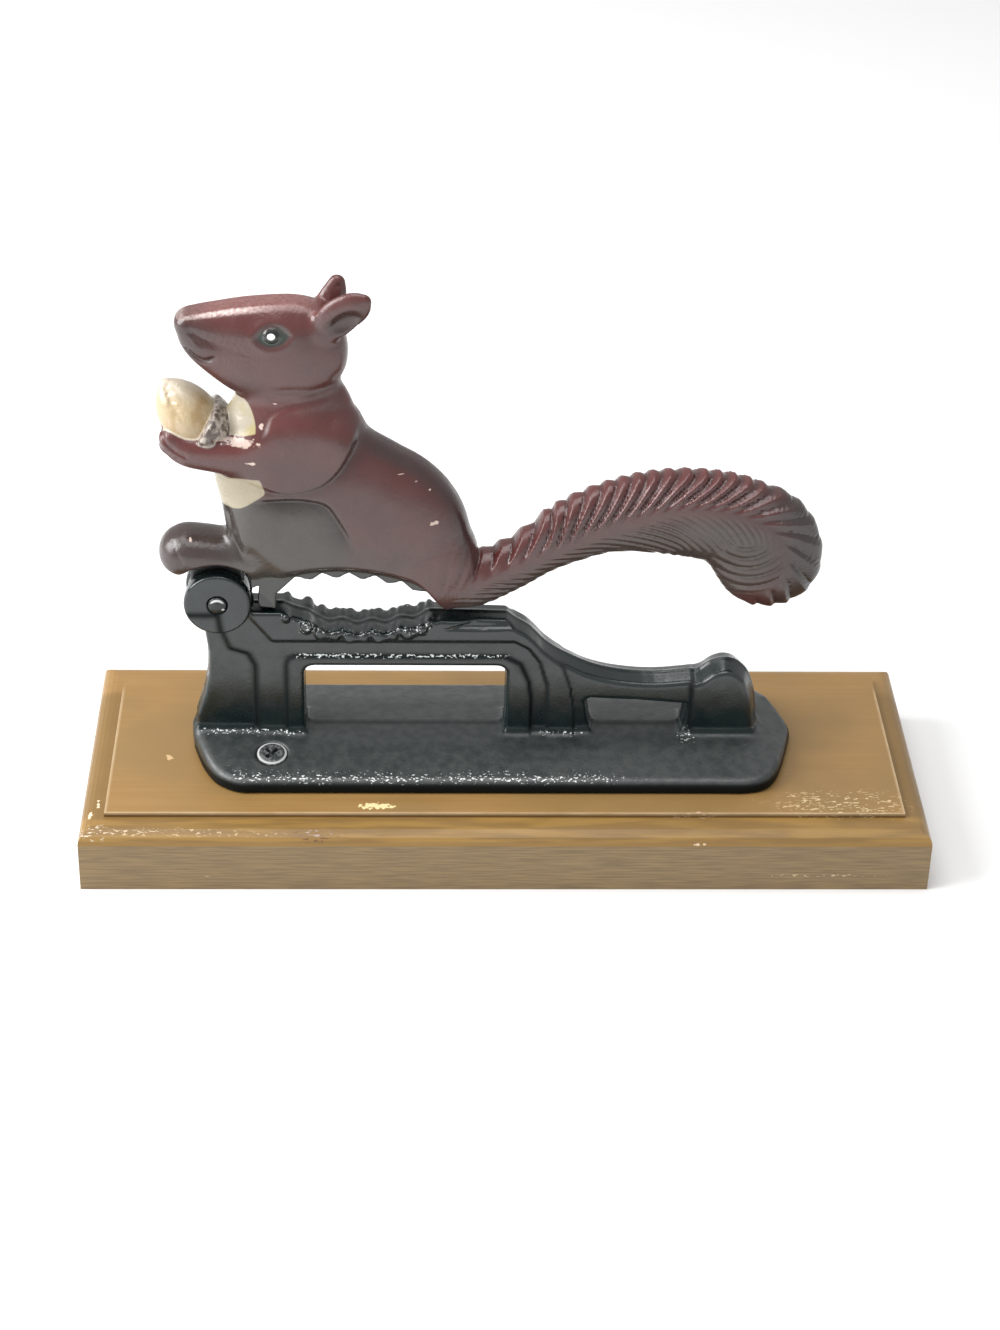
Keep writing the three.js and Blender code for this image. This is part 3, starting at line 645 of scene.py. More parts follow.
def carve_mouth(grid, field):
    """Cuts the arch over the frame's saddle, the room round the lug and the rump's flat underside."""
    under = arch_z(np.clip(grid.x, MOUTH_LEFT, MOUTH_RIGHT)) + 1.3 - grid.z
    under = under + 0.65 * np.maximum(grid.aside - WEB_THICKNESS / 2, 0)
    wall = 0.86 * (MOUTH_RIGHT + 1.8 + 0.62 * (85 - grid.z) - grid.x)
    mouth = np.minimum(join(0.85 * under, wall + 0 * grid.y, 3), grid.x - MOUTH_LEFT)
    field = meet(field, mouth, 1)
    field = meet(field, FOOT_CLEAR_RADIUS - grid.from_pivot, 1.2)
    rump = SHOULDER_TOP + 0.4 * np.maximum(grid.aside - 2, 0) + 3 * ramp(grid.x, -27, -16)
    return meet(field, 0.88 * (rump - grid.z), 1)


def lug_field(grid):
    """The round lug on the pin and the neck that joins it to the body."""
    across, above = 0.58 * FOOT_CLEAR_RADIUS, 1.25 * FOOT_CLEAR_RADIUS
    corners = [(-across, 0), (across, 0), (across, above), (-across, above)]
    neck = [(PIVOT[0] + x, PIVOT[2] + z) for x, z in corners]
    return np.minimum(bar(grid, LUG_RADIUS, LUG_THICKNESS / 2, 0.6),
                      slab(grid, side_on(grid, neck), LUG_THICKNESS / 2, 0.6))


def squirrel():
    """One casting from the toes to the tail, with the lug that turns on the pin."""
    low, high = (np.array(corner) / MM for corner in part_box("squirrel_lever"))
    grid = Grid(low - 2, high + 2, SQUIRREL_STEP)
    figure, arms, chest, head, hollow = figure_fields(grid)
    nut = member(grid, NUT_SHARES)
    edge = 0.5 * (grid.z - CAP_EDGE[1]) - 0.87 * (grid.x - CAP_EDGE[0])
    cap = meet(member(grid, CAP_SHARES), edge, 0.8)
    held = carve_mouth(grid, join(join(figure, nut, 0.5), cap, 0.5))
    teeth = slab(grid, side_on(grid, jaw_outline()), WEB_THICKNESS / 2, 0.6)
    lug = lug_field(grid)
    field = join(join(held, teeth, 1.2), lug, 0.8)
    field = meet(field, PIN_RADIUS + GAP - grid.from_pivot, 0.3)
    middle, half = (low[1] + high[1]) / 2, (high[1] - low[1]) / 2
    field = meet(field, np.abs(grid.y - middle) - half + 0.2, 1.5)
    bib = np.minimum(-side_on(grid, smooth_curve(BIB_OUTLINE, 4)), (arms - chest) * 2)
    masks = {
        "nut": np.minimum(figure, cap) - nut,
        "cap": np.minimum(figure, nut) - cap,
        "bib": np.minimum(bib, (head - chest) * 2),
        "jaw": np.minimum(held - teeth, 4),
        "lug": held - lug,
        "ear": -hollow,
        "eye": -eye_shape(grid) + 0 * grid.z,
        # Where painted shade darkens the creases.
        "crease_shade": creases(grid),
        # Where painted shade darkens the hollows between the tail's lobes.
        "hollow": -tail_relief(grid),
        # Where a grey-olive painted reflection and shade covers the underside.
        "under": underside_reflection_and_shade(grid),
    }
    return casting("squirrel", grid, field, masks)


# The frame's casting. Shares are of the flange's length, the shoulder's rise and the end block's length.
COLUMN_SHARES = [(0.012, -0.1), (0.013, 0.12), (0.026, 0.32), (0.034, 0.5), (0.035, 0.69), (0.03, 0.88)]
FALL_SHARES = [(0, 1), (0.05, 0.89), (0.11, 0.79), (0.165, 0.645), (0.21, 0.515), (0.28, 0.38),
               (0.38, 0.235), (0.48, 0.12), (0.62, 0.035), (0.8, 0), (1, 0.05)]
END_BLOCK_SHARES = [(0.05, 0.48), (0.14, 0.5), (0.27, 0.555), (0.46, 0.59), (0.65, 0.57), (0.82, 0.485),
                    (0.915, 0.36), (0.965, 0.24), (1.01, 0.02), (1.02, -0.1)]
FLANGE_LEFT_SHARES = [(-0.76, 1), (-0.82, 1), (-0.868, 0.93), (-0.91, 0.8), (-0.947, 0.56), (-0.972, 0.3),
                      (-0.987, 0.1)]
FLANGE_RIGHT_SHARES = [(0.72, 1), (0.8, 1), (0.865, 0.97), (0.9, 0.88), (0.95, 0.58), (0.985, 0.3),
                       (0.998, 0.12), (0.985, -0.1), (0.955, -0.48), (0.925, -0.76), (0.885, -0.93),
                       (0.82, -1), (0.72, -1)]
BLOCK_LEFT = FLANGE_RIGHT - HIP_LENGTH - END_BLOCK_LENGTH
SCREW_INSET = 28.2
SCREW_SIDE = 17
SCREW_HEAD = 5.4
SCREW_SHANK = 2.4

# Places and sizes on the frame's face, x and z in millimetres
BEAD = [(-73, 30), (-73, 59.5), (-72.2, 61.9), (-70, 62.8), (-0.5, 62.8), (4.9, 59.8), (7.7, 53),
        (8.6, 46), (8.6, 30)]
JAW_FACE = [(-84.2, 77.5), (-77.4, 68.7), (2.7, 68.7), (7.5, 66), (11.3, 60.7), (14, 51.4), (14.3, 42),
            (14.3, 30), (23.2, 30), (23, 42), (21.5, 51), (18.6, 60), (18.5, 90), (-84.2, 90)]
ARM_GAP = [(30.5, 24), (58.5, 24), (60.4, 41), (60.6, 42.7), (44, 44.2), (28.4, 44.9), (27.6, 44)]
MARGIN = [(-130, 30), (-83.3, 30), (-83.3, 58.5), (-85.5, 63.2), (-91.5, 65.2), (-93.6, 71), (-94.8, 80),
          (-130, 80)]
RIDGE = -44.7
RIDGE_PITCH = 9.5
RIDGE_HEIGHT = 0.75
KNOB_RADII = (1.9, 1.1, 1.6, 0.9)
KNOB_COUNT = 16
KNOB_ASIDE = 5.2
SCOOP = [(-21, 73.4), (-12, 76.6), (-2, 79), (7, 76), (3, 73.6), (-8, 73)]


def saddle_z(x):
    """The saddle's top edge: a shallow hollow with broad ridges, which climbs to the block on its left."""
    middle = (SADDLE_START + SADDLE_END + SADDLE_DEPTH) / 2
    share = (x - middle) / (SADDLE_END - middle)
    hollow = SHOULDER_TOP - SADDLE_DEPTH * (1 - share**2)
    ridges = RIDGE_HEIGHT * math.cos(2 * math.pi * (x - RIDGE) / RIDGE_PITCH)
    climb = 1.7 * ramp(x, -62.5, -65.5)
    return hollow + ridges * ramp(x, SADDLE_START + 8, SADDLE_START + 13) + climb


def web_outline():
    column = [(FLANGE_LEFT + x * FLANGE_LENGTH, CROWN_TOP + z * SHOULDER_RISE) for x, z in COLUMN_SHARES]
    saddle = [(x, saddle_z(x)) for x in np.linspace(SADDLE_START + 3.4, SADDLE_END, 46)]
    arm_top = CROWN_TOP + SHOULDER_RISE * 0.46
    run = BLOCK_LEFT - WINDOW_RIGHT
    fall = [(WINDOW_RIGHT + x * run, arm_top + z * (SHOULDER_TOP - arm_top)) for x, z in FALL_SHARES]
    end = [(BLOCK_LEFT + x * END_BLOCK_LENGTH, CROWN_TOP + z * SHOULDER_RISE) for x, z in END_BLOCK_SHARES]
    ear = [(PIVOT[0] - 0.6 * EAR_RADIUS, PIVOT[2] - 0.6 * EAR_RADIUS), (PIVOT[0], PIVOT[2])]
    block = [(BLOCK_START, SHOULDER_TOP + BLOCK_LIFT), (SADDLE_START, SHOULDER_TOP + BLOCK_LIFT)]
    return column + ear + block + saddle + list(smooth_curve(fall, 3)) + list(smooth_curve(end, 3))


def window_outline():
    top = CROWN_TOP + WINDOW_HEIGHT - WINDOW_CORNER
    low = CROWN_TOP - WINDOW_SINK + WINDOW_CORNER
    left, right = WINDOW_LEFT + WINDOW_CORNER, WINDOW_RIGHT - WINDOW_CORNER
    corners = ((left, low, math.pi), (right, low, -math.pi / 2), (right, top, 0), (left, top, math.pi / 2))
    return sum((rounded_corner(x, z, WINDOW_CORNER, start) for x, z, start in corners), [])


def web_face(grid):
    """How far the web's face stands from the middle plane, in steps."""
    proud = np.minimum(side_on(grid, BEAD), side_on(grid, JAW_FACE))
    proud = np.minimum(proud, BLOCK_LEFT - grid.x)
    margin = side_on(grid, MARGIN)
    scoop = side_on(grid, SCOOP)
    face = WEB_THICKNESS / 2 - RELIEF * ramp(proud, -0.35, 0.45) - RELIEF * ramp(margin, 0.6, -0.6)
    return face - 1.6 * ramp(scoop, 0.3, -1.3)


def flange_outline():
    left = [(x, -y) for x, y in FLANGE_LEFT_SHARES] + FLANGE_LEFT_SHARES[::-1]
    shares = np.vstack([smooth_curve(FLANGE_RIGHT_SHARES, 4), smooth_curve(left, 4)])
    return shares * (FLANGE_LENGTH / 2, FLANGE_WIDTH / 2) + (FLANGE_MIDDLE, 0)


def flange_field(grid):
    slope = (FLANGE_RISE - FLANGE_EDGE) / (FLANGE_WIDTH - CROWN_WIDTH) * 2
    hip = (FLANGE_RISE - FLANGE_EDGE) / HIP_LENGTH
    fall = meet(grid.aside - CROWN_WIDTH / 2, 0.5 * grid.aside, 2)
    top = CROWN_TOP + 0.4 - slope * fall
    top = np.minimum(top, CROWN_TOP - hip * (grid.x - FLANGE_RIGHT + HIP_LENGTH))
    field = meet(outline_distance(grid.x, grid.y, flange_outline()), (grid.z - top) * 0.98, 2.6)
    return meet(field, PLINTH_TOP + GAP - grid.z, 0.3)


def screw_hole(grid, side):
    """The countersunk hole of a screw, square to the flange's slope."""
    lean = math.atan2(FLANGE_RISE - FLANGE_EDGE, (FLANGE_WIDTH - CROWN_WIDTH) / 2)
    x = FLANGE_LEFT + SCREW_INSET if side < 0 else FLANGE_RIGHT - SCREW_INSET
    y = side * SCREW_SIDE
    z = CROWN_TOP - (SCREW_SIDE - CROWN_WIDTH / 2) * math.tan(lean)
    over = (grid.y - y) * side * math.sin(lean) + (grid.z - z) * math.cos(lean)
    across = (grid.y - y) * side * math.cos(lean) - (grid.z - z) * math.sin(lean)
    wall = np.clip(SCREW_HEAD + (over + 0.5) * 1.15, SCREW_SHANK, SCREW_HEAD)
    return (np.hypot(grid.x - x, across) - wall) * 0.75


def knobs():
    """Places and radii of the small knobs along the edges of the saddle."""
    first = RIDGE - 7 * RIDGE_PITCH / 4
    row = [(first + index * RIDGE_PITCH / 4, KNOB_RADII[index % 4]) for index in range(KNOB_COUNT)]
    saddle = [(x, saddle_z(x) - 0.9 - 0.6 * radius, radius) for x, radius in row]
    return saddle + [(-66, saddle_z(-66) - 2.2, 2.1), (-72.6, SHOULDER_TOP + 1.4, 1.3)]


def anvil():
    low, high = (np.array(corner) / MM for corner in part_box("anvil_frame"))
    grid = Grid(low - 2.1, high + 2.1, FRAME_STEP)
    aside = grid.aside
    draft = (0.09 + 0.2 * ramp(grid.x, 8, 26)) * aside - 0.3 * hump(grid.y, 0.7)
    waves = 0.6 * np.cos(4 * math.pi * (grid.x - RIDGE) / RIDGE_PITCH) * ramp(aside, 1.5, 5.5)
    waves = waves * ramp(grid.x, SADDLE_START + 6, SADDLE_START + 12) * ramp(grid.x, -20, -25)
    outline = side_on(grid, web_outline())
    holes = np.minimum(side_on(grid, window_outline()), side_on(grid, ARM_GAP))
    web = meet(outline + draft - waves, 0.5 * draft - holes, 1)
    web = meet(web, aside - web_face(grid), 1.6)
    for x, z, radius in knobs():
        flat = np.hypot(grid.x - x, (grid.z - z) * 0.8) - radius
        web = join(web, meet(flat, np.abs(aside - KNOB_ASIDE) - 2.5 - 0.5 * radius, 1.6), 0.8)
    web = join(web, bar(grid, EAR_RADIUS, EAR_SPAN / 2, 1), 1)
    board = flange_field(grid)
    field = join(web, board, 3.2)
    field = meet(field, -bar(grid, EAR_RADIUS + GAP, LUG_THICKNESS / 2 + GAP, 0.3), 0.5)
    field = meet(field, PIN_RADIUS + GAP - grid.from_pivot, 0.3)
    for side in (-1, 1):
        field = meet(field, -screw_hole(grid, side), 0.4)
    masks = {"board": web - board, "painted_glint": painted_glints(grid), "crease_shade": web_creases(grid)}
    return casting("frame_casting", grid, field, masks)


def web_creases(grid):
    """How much painted shade darkens the web: 1 along the steps of its face and, fainter, in front of the
    crown's ridge.
    """
    lines = largest(hump(side_on(grid, BEAD), 0.8), 0.6 * hump(side_on(grid, JAW_FACE), 0.6),
                    hump(side_on(grid, MARGIN), 1.1), hump(grid.x - BLOCK_LEFT, 0.9))
    lines = lines * ramp(grid.aside, 4.5, 5.5) * ramp(grid.z, CROWN_TOP, CROWN_TOP + 2)
    ridge = 0.6 * hump(grid.y + 1.6, 0.9) * (grid.z < CROWN_TOP + 2) * (grid.x < BLOCK_LEFT)
    return np.maximum(lines, ridge)


def painted_glints(grid):
    """Where light specks of painted glint go: on the flange's rim, the bead's top edge, the ridges and the
    web's feet.
    """
    x, y, z = grid.x, grid.y, grid.z
    inward = -outline_distance(x, y, flange_outline())
    rim = 0.56 * hump(inward - 1.6, 0.8) + 0.3 * hump(inward - 3.4, 2.4)
    rim = rim * ramp(x, 62, 20) * ramp(x, -96, -88) * (z > 26) * (z < 31)
    bead = hump(z - BEAD[4][1] - 0.1, 0.5) * ramp(grid.aside, 5.4, 6)
    bead = bead * ramp(x, -71, -69) * ramp(x, 3, -2)
    ridges = 0.42 * ramp(z, SHOULDER_TOP - 6, SHOULDER_TOP - 3) * (z < SHOULDER_TOP + 1)
    ridges = ridges * ramp(x, SADDLE_START, SADDLE_START + 8) * ramp(grid.aside, 5, 7)
    ridges = ridges * ramp(x, SADDLE_END + 2, SADDLE_END)
    block_foot = 0.75 * hump(np.hypot(x - 60.8, (y + 9.5) * 1.2), 3.2) * (z < 37)
    seam = 0.85 * hump(z - CROWN_TOP - 0.3, 0.5) * (y < -6) * (y > -10) * (x > -103)
    seam = seam * ((x < WINDOW_LEFT) + (x > WINDOW_RIGHT + 12) * (x < 27))
    return largest(rim * (y < 0), bead, ridges, block_foot, seam)


def turned(name, profile, place, steps=48):
    """A solid turned from a profile of radius and height along y."""
    mesh = bpy.data.meshes.new(name)
    angles = np.arange(steps) * 2 * math.pi / steps
    points = [(radius * math.sin(angle), along, radius * math.cos(angle))
              for radius, along in profile for angle in angles]
    faces = []
    for ring in range(len(profile) - 1):
        for side in range(steps):
            a, b = ring * steps + side, ring * steps + (side + 1) % steps
            faces.append((a, b, b + steps, a + steps))
    last = (len(profile) - 1) * steps
    faces += [tuple(reversed(range(steps))), tuple(range(last, last + steps))]
    mesh.from_pydata((np.array(points) + place) * MM, [], faces)
    mesh.update()
    mesh.shade_smooth()
    return put(name, mesh)


def pin():
    half, dome = EAR_SPAN / 2, 0.8
    shares = np.linspace(0.04, 1, 9)
    front = [(PIN_RADIUS * share, -half - dome * (1 - share**2)) for share in shares]
    profile = front + [(radius, -along) for radius, along in reversed(front)]
    return turned("pin_turned", profile, PIVOT)


# Materials
def tone(colour):
    """A mixed colour as it is, or red, green and blue from 0 to 255 as a shader takes them."""
    if not isinstance(colour, tuple):
        return colour
    parts = [channel / 255 for channel in colour]
    return tuple(p / 12.92 if p < 0.04 else ((p + 0.055) / 1.055) ** 2.4 for p in parts) + (1,)


class Paint:
    """A node material, painted coat over coat. Places and sizes are in millimetres."""

    def __init__(self, name):
        self.material = bpy.data.materials.new(name)
        self.material.use_nodes = True
        self.tree = self.material.node_tree
        self.shader = self.tree.nodes["Principled BSDF"]
        self.coat = None
        coordinates = self.add("TexCoord")
        self.place = coordinates.outputs["Object"]
        self.upward = self.add("SeparateXYZ", coordinates.outputs["Normal"]).outputs["Z"]

    def give(self, socket, value):
        if isinstance(value, bpy.types.NodeSocket):
            self.tree.links.new(value, socket)
        elif value is not None:
            socket.default_value = value

    def add(self, kind, *values, **settings):
        node = self.tree.nodes.new("ShaderNode" + kind)
        for name, value in settings.items():
            setattr(node, name, value)
        for socket, value in zip(node.inputs, values):
            self.give(socket, value)
        return node

    def math(self, operation, *values):
        return self.add("Math", *values, operation=operation).outputs[0]

    def noise(self, size, detail=3, stretch=(1, 1, 1)):
        """Noise whose features have about this size, drawn out along the axes by stretch."""
        squeeze = tuple(1 / (size * MM * s) for s in stretch)
        place = self.add("VectorMath", self.place, squeeze, operation="MULTIPLY").outputs[0]
        return self.add("TexNoise", place, None, 1, detail).outputs["Fac"]

    def band(self, value, low, high):
        """0 at low and 1 at high, smooth between; low may be the larger."""
        return self.add("MapRange", value, low, high, 0, 1, interpolation_type="SMOOTHSTEP").outputs[0]

    def patches(self, low, high, *noise):
        return self.band(self.noise(*noise), low, high)

    def facing_up(self, low, high):
        return self.band(self.upward, low, high)

    def where(self, mask, low, high):
        return self.band(self.mask(mask), low, high)

    def along(self, axis, low, high):
        return self.band(self.axis(axis), low * MM, high * MM)

    def span(self, value, low, high):
        """Maps 0..1 on to low..high."""
        return self.add("MapRange", value, 0, 1, low, high).outputs[0]

    def mix(self, share, first, second):
        node = self.add("Mix", data_type="RGBA")
        names = {"Factor_Float": share, "A_Color": tone(first), "B_Color": tone(second)}
        for socket in node.inputs:
            if socket.identifier in names:
                self.give(socket, names[socket.identifier])
        return [socket for socket in node.outputs if socket.identifier == "Result_Color"][0]

    def over(self, colour, *shares):
        """One more coat, as strong as the product of its shares."""
        self.coat = self.mix(self.both(*shares), self.coat, colour)

    def mask(self, name):
        return self.add("Attribute", attribute_name=name).outputs["Fac"]

    def axis(self, name):
        return self.add("SeparateXYZ", self.place).outputs[name]

    def both(self, *shares):
        total = shares[0]
        for share in shares[1:]:
            total = self.math("MULTIPLY", total, share)
        return total

    def spot(self, place, radii, soft=0.15, ragged=0):
        """1 inside an ellipsoid, 0 outside; a radius of 0 leaves its axis out."""
        scale = tuple(1 / (radius * MM) if radius else 0 for radius in radii)
        shift = tuple(-middle / radius if radius else 0 for middle, radius in zip(place, radii))
        away = self.add("VectorMath", self.place, scale, shift, operation="MULTIPLY_ADD").outputs[0]
        away = self.add("VectorMath", away, operation="LENGTH").outputs["Value"]
        if ragged:
            away = self.math("ADD", away, self.span(self.noise(1.4), -ragged, ragged))
        return self.band(away, 1 + soft, 1 - soft)

    def step_edge(self, inner, outer):
        """Grows from 0 to 1 between two distances past the upper edge of the plinth's step."""
        across = self.add("VectorMath", self.place, operation="ABSOLUTE").outputs[0]
        parts = self.add("SeparateXYZ", across).outputs
        beyond = self.math("MAXIMUM", self.math("SUBTRACT", parts[0], STEP_EDGE[0] * MM),
                           self.math("SUBTRACT", parts[1], STEP_EDGE[1] * MM))
        return self.band(beyond, inner * MM, outer * MM)

    def bump(self, height, size):
        node = self.add("Bump")
        self.give(node.inputs["Height"], height)
        self.give(node.inputs["Distance"], size * MM)
        return node.outputs[0]

    def finish(self, roughness, normal=None):
        self.give(self.shader.inputs["Base Color"], self.coat)
        self.give(self.shader.inputs["Roughness"], roughness)
        self.give(self.shader.inputs["Normal"], normal)
        return self.material


# Places where the paint has gone, and two painted glints on the foot: x and z, half the width and half the
# height
SQUIRREL_CHIPS_AND_GLINTS = [(-24.4, 115.9, 1.1, 0.65), (-30.3, 130, 0.35, 0.25), (-25.9, 126.8, 0.35, 0.25),
                  # The first two on this line are painted glints on the foot; the rest are chips.
                  (-105.9, 108.7, 0.7, 0.2), (-102.8, 106.9, 0.4, 0.4), (-85.6, 144.8, 5.2, 1.1),
                  (-82.1, 138.3, 1.6, 0.4), (-78.8, 150.5, 0.7, 0.9), (-35.4, 132.7, 0.8, 0.12),
                  (-74.4, 157.6, 0.7, 0.2)]


def squirrel_enamel():
    """Maroon enamel with painted light and shade, duller below, redder on top, highlit on the roof and dark
    in its creases, with a cream bib, an acorn and green-grey eyes.
    """
    paint = Paint("squirrel_enamel")
    fine = paint.noise(1.1)
    paint.coat = paint.mix(paint.patches(0.35, 0.65, 16, 4), (76, 49, 47), (86, 52, 49))
    shade_coat(paint, fine)
    paint_bib(paint)
    paint_acorn(paint)
    paint.over((46, 42, 39), paint.where("ear", -1.2, 1))
    paint_eyes(paint)
    for x, z, wide, high in SQUIRREL_CHIPS_AND_GLINTS:
        paint.over((206, 184, 172), paint.spot((x, 0, z), (wide, 0, high), 0.2, 1.6))
    paint.over((52, 54, 51), paint.where("jaw", -0.1, 0.3))
    paint.over((24, 27, 27), paint.where("lug", -0.1, 0.2))
    gloss = paint.span(paint.facing_up(-0.55, -0.1), 0.2, 0.8)
    paint.give(paint.shader.inputs["Specular IOR Level"], gloss)
    grain = paint.both(fine, paint.span(paint.facing_up(0.25, 0.8), 0.15, 0.6))
    grain = paint.math("ADD", grain, paint.both(paint.noise(6), 0.8))
    return paint.finish(paint.span(paint.patches(0.3, 0.7, 6), 0.22, 0.36), paint.bump(grain, 0.22))


def shade_coat(paint, fine):
    """Painted light and shade: redder top sides and shoulders, a highlight on the roof and its edge, a dull
    grey-olive reflection and shade below, shade on the snout, in the tail's hollows, along the back's rim and
    in the folds, and a darker foot and tail tip.
    """
    # Painted light: the sides that face up are redder.
    paint.over((86, 38, 35), paint.facing_up(0.1, 0.5))
    # Painted light: redder tops of the shoulder and the forearm.
    for place, radii in (((-73, 0, 154.5), (9, 0, 4.5)), ((-90, 0, 143.5), (11, 0, 3.5))):
        paint.over((118, 50, 46), paint.spot(place, radii, 0.9), 0.35)
    # Painted highlight on the roof of the head, and a brighter one along its near edge.
    roof = paint.both(paint.facing_up(0.6, 0.85), paint.along("X", -56, -64), paint.along("Z", 181, 184),
                      paint.span(fine, -0.1, 1.5))
    paint.over((132, 88, 84), roof)
    roof_edge_highlight = paint.both(paint.facing_up(0.62, 0.74), paint.facing_up(0.98, 0.88),
                           paint.span(fine, -0.6, 2), paint.along("X", -70, -90),
                           paint.along("Z", 180, 182))
    paint.over((216, 192, 186), roof_edge_highlight)
    # Painted shade darkens the snout.
    paint.over((50, 31, 29), paint.spot((-103, 0, 178), (10, 0, 8), 0.7), 0.85)
    # Painted shade in the hollows between the tail's lobes.
    paint.over((50, 32, 32), paint.where("hollow", -0.2, 0.6), 0.5)
    # Painted reflection and shade: a dull grey-olive on the underside.
    paint.over((66, 61, 57), paint.mask("under"))
    paint.over((54, 37, 36), paint.spot((-103, 0, 102), (13, 0, 10), 0.5), 0.7)
    # Painted shade along the rim of the back.
    crest = paint.band(paint.math("ABSOLUTE", paint.axis("Y")), 10 * MM, 5.5 * MM)
    back_rim_shade = paint.both(crest, paint.along("X", -54, -42), paint.along("X", -8, -14), paint.along("Z", 92, 100))
    paint.over((34, 28, 27), back_rim_shade, 0.7)
    paint.over((38, 32, 31), paint.along("X", 74, 98), paint.span(fine, 0.5, 0.9))
    # Painted shade in the creases and folds.
    paint.over((44, 34, 32), paint.mask("crease_shade"), 0.8)


def paint_bib(paint):
    cream = paint.mix(paint.patches(0.4, 0.65, 7), (178, 169, 151), (176, 163, 116))
    cream = paint.mix(paint.along("Z", 138, 132), cream, (158, 148, 125))
    paint.over(cream, paint.where("bib", -0.1, 0.3))


def paint_acorn(paint):
    """A pale shell with a painted highlight towards its tip, whose colour runs over on the hands with a paler
    painted highlight along its rim, and a knobbly cap.
    """
    shell = paint.mix(paint.patches(0.4, 0.65, 4, 4, (1, 1, 3)), (184, 164, 130), (168, 141, 99))
    # Painted highlights: paler towards the shell's tip, and paler still along its rim.
    shell = paint.mix(paint.along("Z", 155, 161), shell, (196, 184, 164))
    shell = paint.mix(paint.where("nut", 0.3, -0.1), shell, (204, 192, 172))
    paint.over(shell, paint.where("nut", -0.9, -0.3), paint.along("X", -92, -96))
    husk = paint.mix(paint.patches(0.4, 0.62, 1.8), (92, 80, 74), (172, 162, 152))
    paint.over(husk, paint.where("cap", -0.1, 0.2))


def paint_eyes(paint):
    """A green-grey almond with a shaded lid, a black pupil and a white glint."""
    x, z = PUPIL
    paint.over((62, 56, 54), paint.where("eye", -1.8, 0), 0.5)
    iris = paint.mix(paint.along("Z", EYE[1] + 1.8, EYE[1]), (60, 60, 56), (46, 53, 47))
    paint.over(iris, paint.where("eye", -0.35, 0.35))
    paint.over((12, 14, 14), paint.spot((x, 0, z), (2.3, 0, 2.1), 0.12))
    paint.over((246, 248, 248), paint.spot((x - 0.1, 0, z - 0.1), (1.25, 0, 1), 0.1))


def frame_enamel():
    """Glossy black enamel, duller and grainier on the flange, with painted shade along the steps of its face
    and light specks of painted glint on its edges and ridges.
    """
    paint = Paint("frame_enamel")
    board = paint.where("board", -0.5, 1.5)
    crease_shade = paint.mask("crease_shade")
    painted_glint = paint.mask("painted_glint")
    web = paint.mix(paint.patches(0.3, 0.7, 9), (15, 27, 28), (23, 34, 34))
    flange = paint.mix(paint.patches(0.35, 0.65, 3, 4), (36, 42, 42), (50, 55, 54))
    paint.coat = paint.mix(board, web, flange)
    edge = paint.both(paint.along("Z", 28.5, 26.5), paint.facing_up(0.7, 0.4))
    paint.over((14, 18, 18), edge)
    # Painted shade along the steps of the web's face and in front of the crown's ridge.
    paint.over((12, 15, 15), crease_shade, 0.9)
    # Painted glints: light specks on the flange's rim, the bead, the ridges and the web's feet.
    chance = paint.math("ADD", paint.noise(0.65, 2, (1.6, 1, 1)), paint.both(painted_glint, 0.24))
    paint.over((214, 220, 218), paint.band(chance, 0.7, 0.75), paint.band(painted_glint, 0.05, 0.3))
    high = paint.math("MAXIMUM", board, paint.span(paint.along("Z", 35, 56), 0.4, 1))
    shine = paint.both(paint.span(paint.math("MAXIMUM", crease_shade, edge), 0.8, 0.1), high)
    paint.give(paint.shader.inputs["Specular IOR Level"], shine)
    dull = paint.math("MAXIMUM", paint.span(board, 0, 0.2), paint.both(crease_shade, 0.4))
    roughness = paint.math("ADD", paint.span(paint.patches(0.3, 0.7, 5), 0.16, 0.3), dull)
    grain = paint.both(paint.noise(1), paint.span(board, 0.15, 0.4))
    grain = paint.math("ADD", grain, paint.both(paint.noise(7), 0.3))
    return paint.finish(roughness, paint.bump(grain, 0.22))


# Spots on the plinth's paint: place, radii and colour
PLINTH_CHIPS = [
    ((-43.3, -36.7, 23.5), (5.2, 1.4, 3), (232, 214, 160)),
    ((-112.8, -9, 23.5), (1.2, 1.1, 3), (202, 168, 124)),
    ((-134.6, -34.1, 21.5), (0.6, 2, 2), (222, 204, 174)),
    ((-136.7, -40.1, 21), (0.6, 1.8, 2), (222, 204, 174)),
    ((62.3, -50.9, 18.3), (0.9, 2, 0.4), (216, 194, 162)),
    ((64.8, -50.9, 18.4), (0.6, 2, 0.3), (216, 194, 162)),
]
PLINTH_SCUFFS_AND_HIGHLIGHTS = [
    ((114, -35, 23.5), (22, 6.5, 2), (208, 184, 140)),
    # The next three are painted highlights on the moulding's left end and its front-left corner; the others
    # are scuffs and worn spots.
    ((-135, -48.5, 20.9), (4.5, 3.4, 1.8), (224, 210, 190)),
    ((-112, -48.4, 21.3), (26, 1.6, 0.8), (208, 184, 152)),
    ((-84, -48.9, 20.9), (30, 1, 0.4), (186, 156, 116)),
    ((62, -40.6, 23.5), (6, 1, 2), (214, 180, 156)),
    ((-64, -49.3, 20.6), (8.5, 2.5, 1.8), (96, 64, 50)),
    ((-62, -49, 21.2), (4.5, 2, 0.8), (172, 152, 140)),
    ((104, -51, 5.8), (17, 2, 0.5), (196, 176, 140)),
    ((-97, -51, 5.5), (1.5, 2, 0.8), (226, 212, 180)),
]


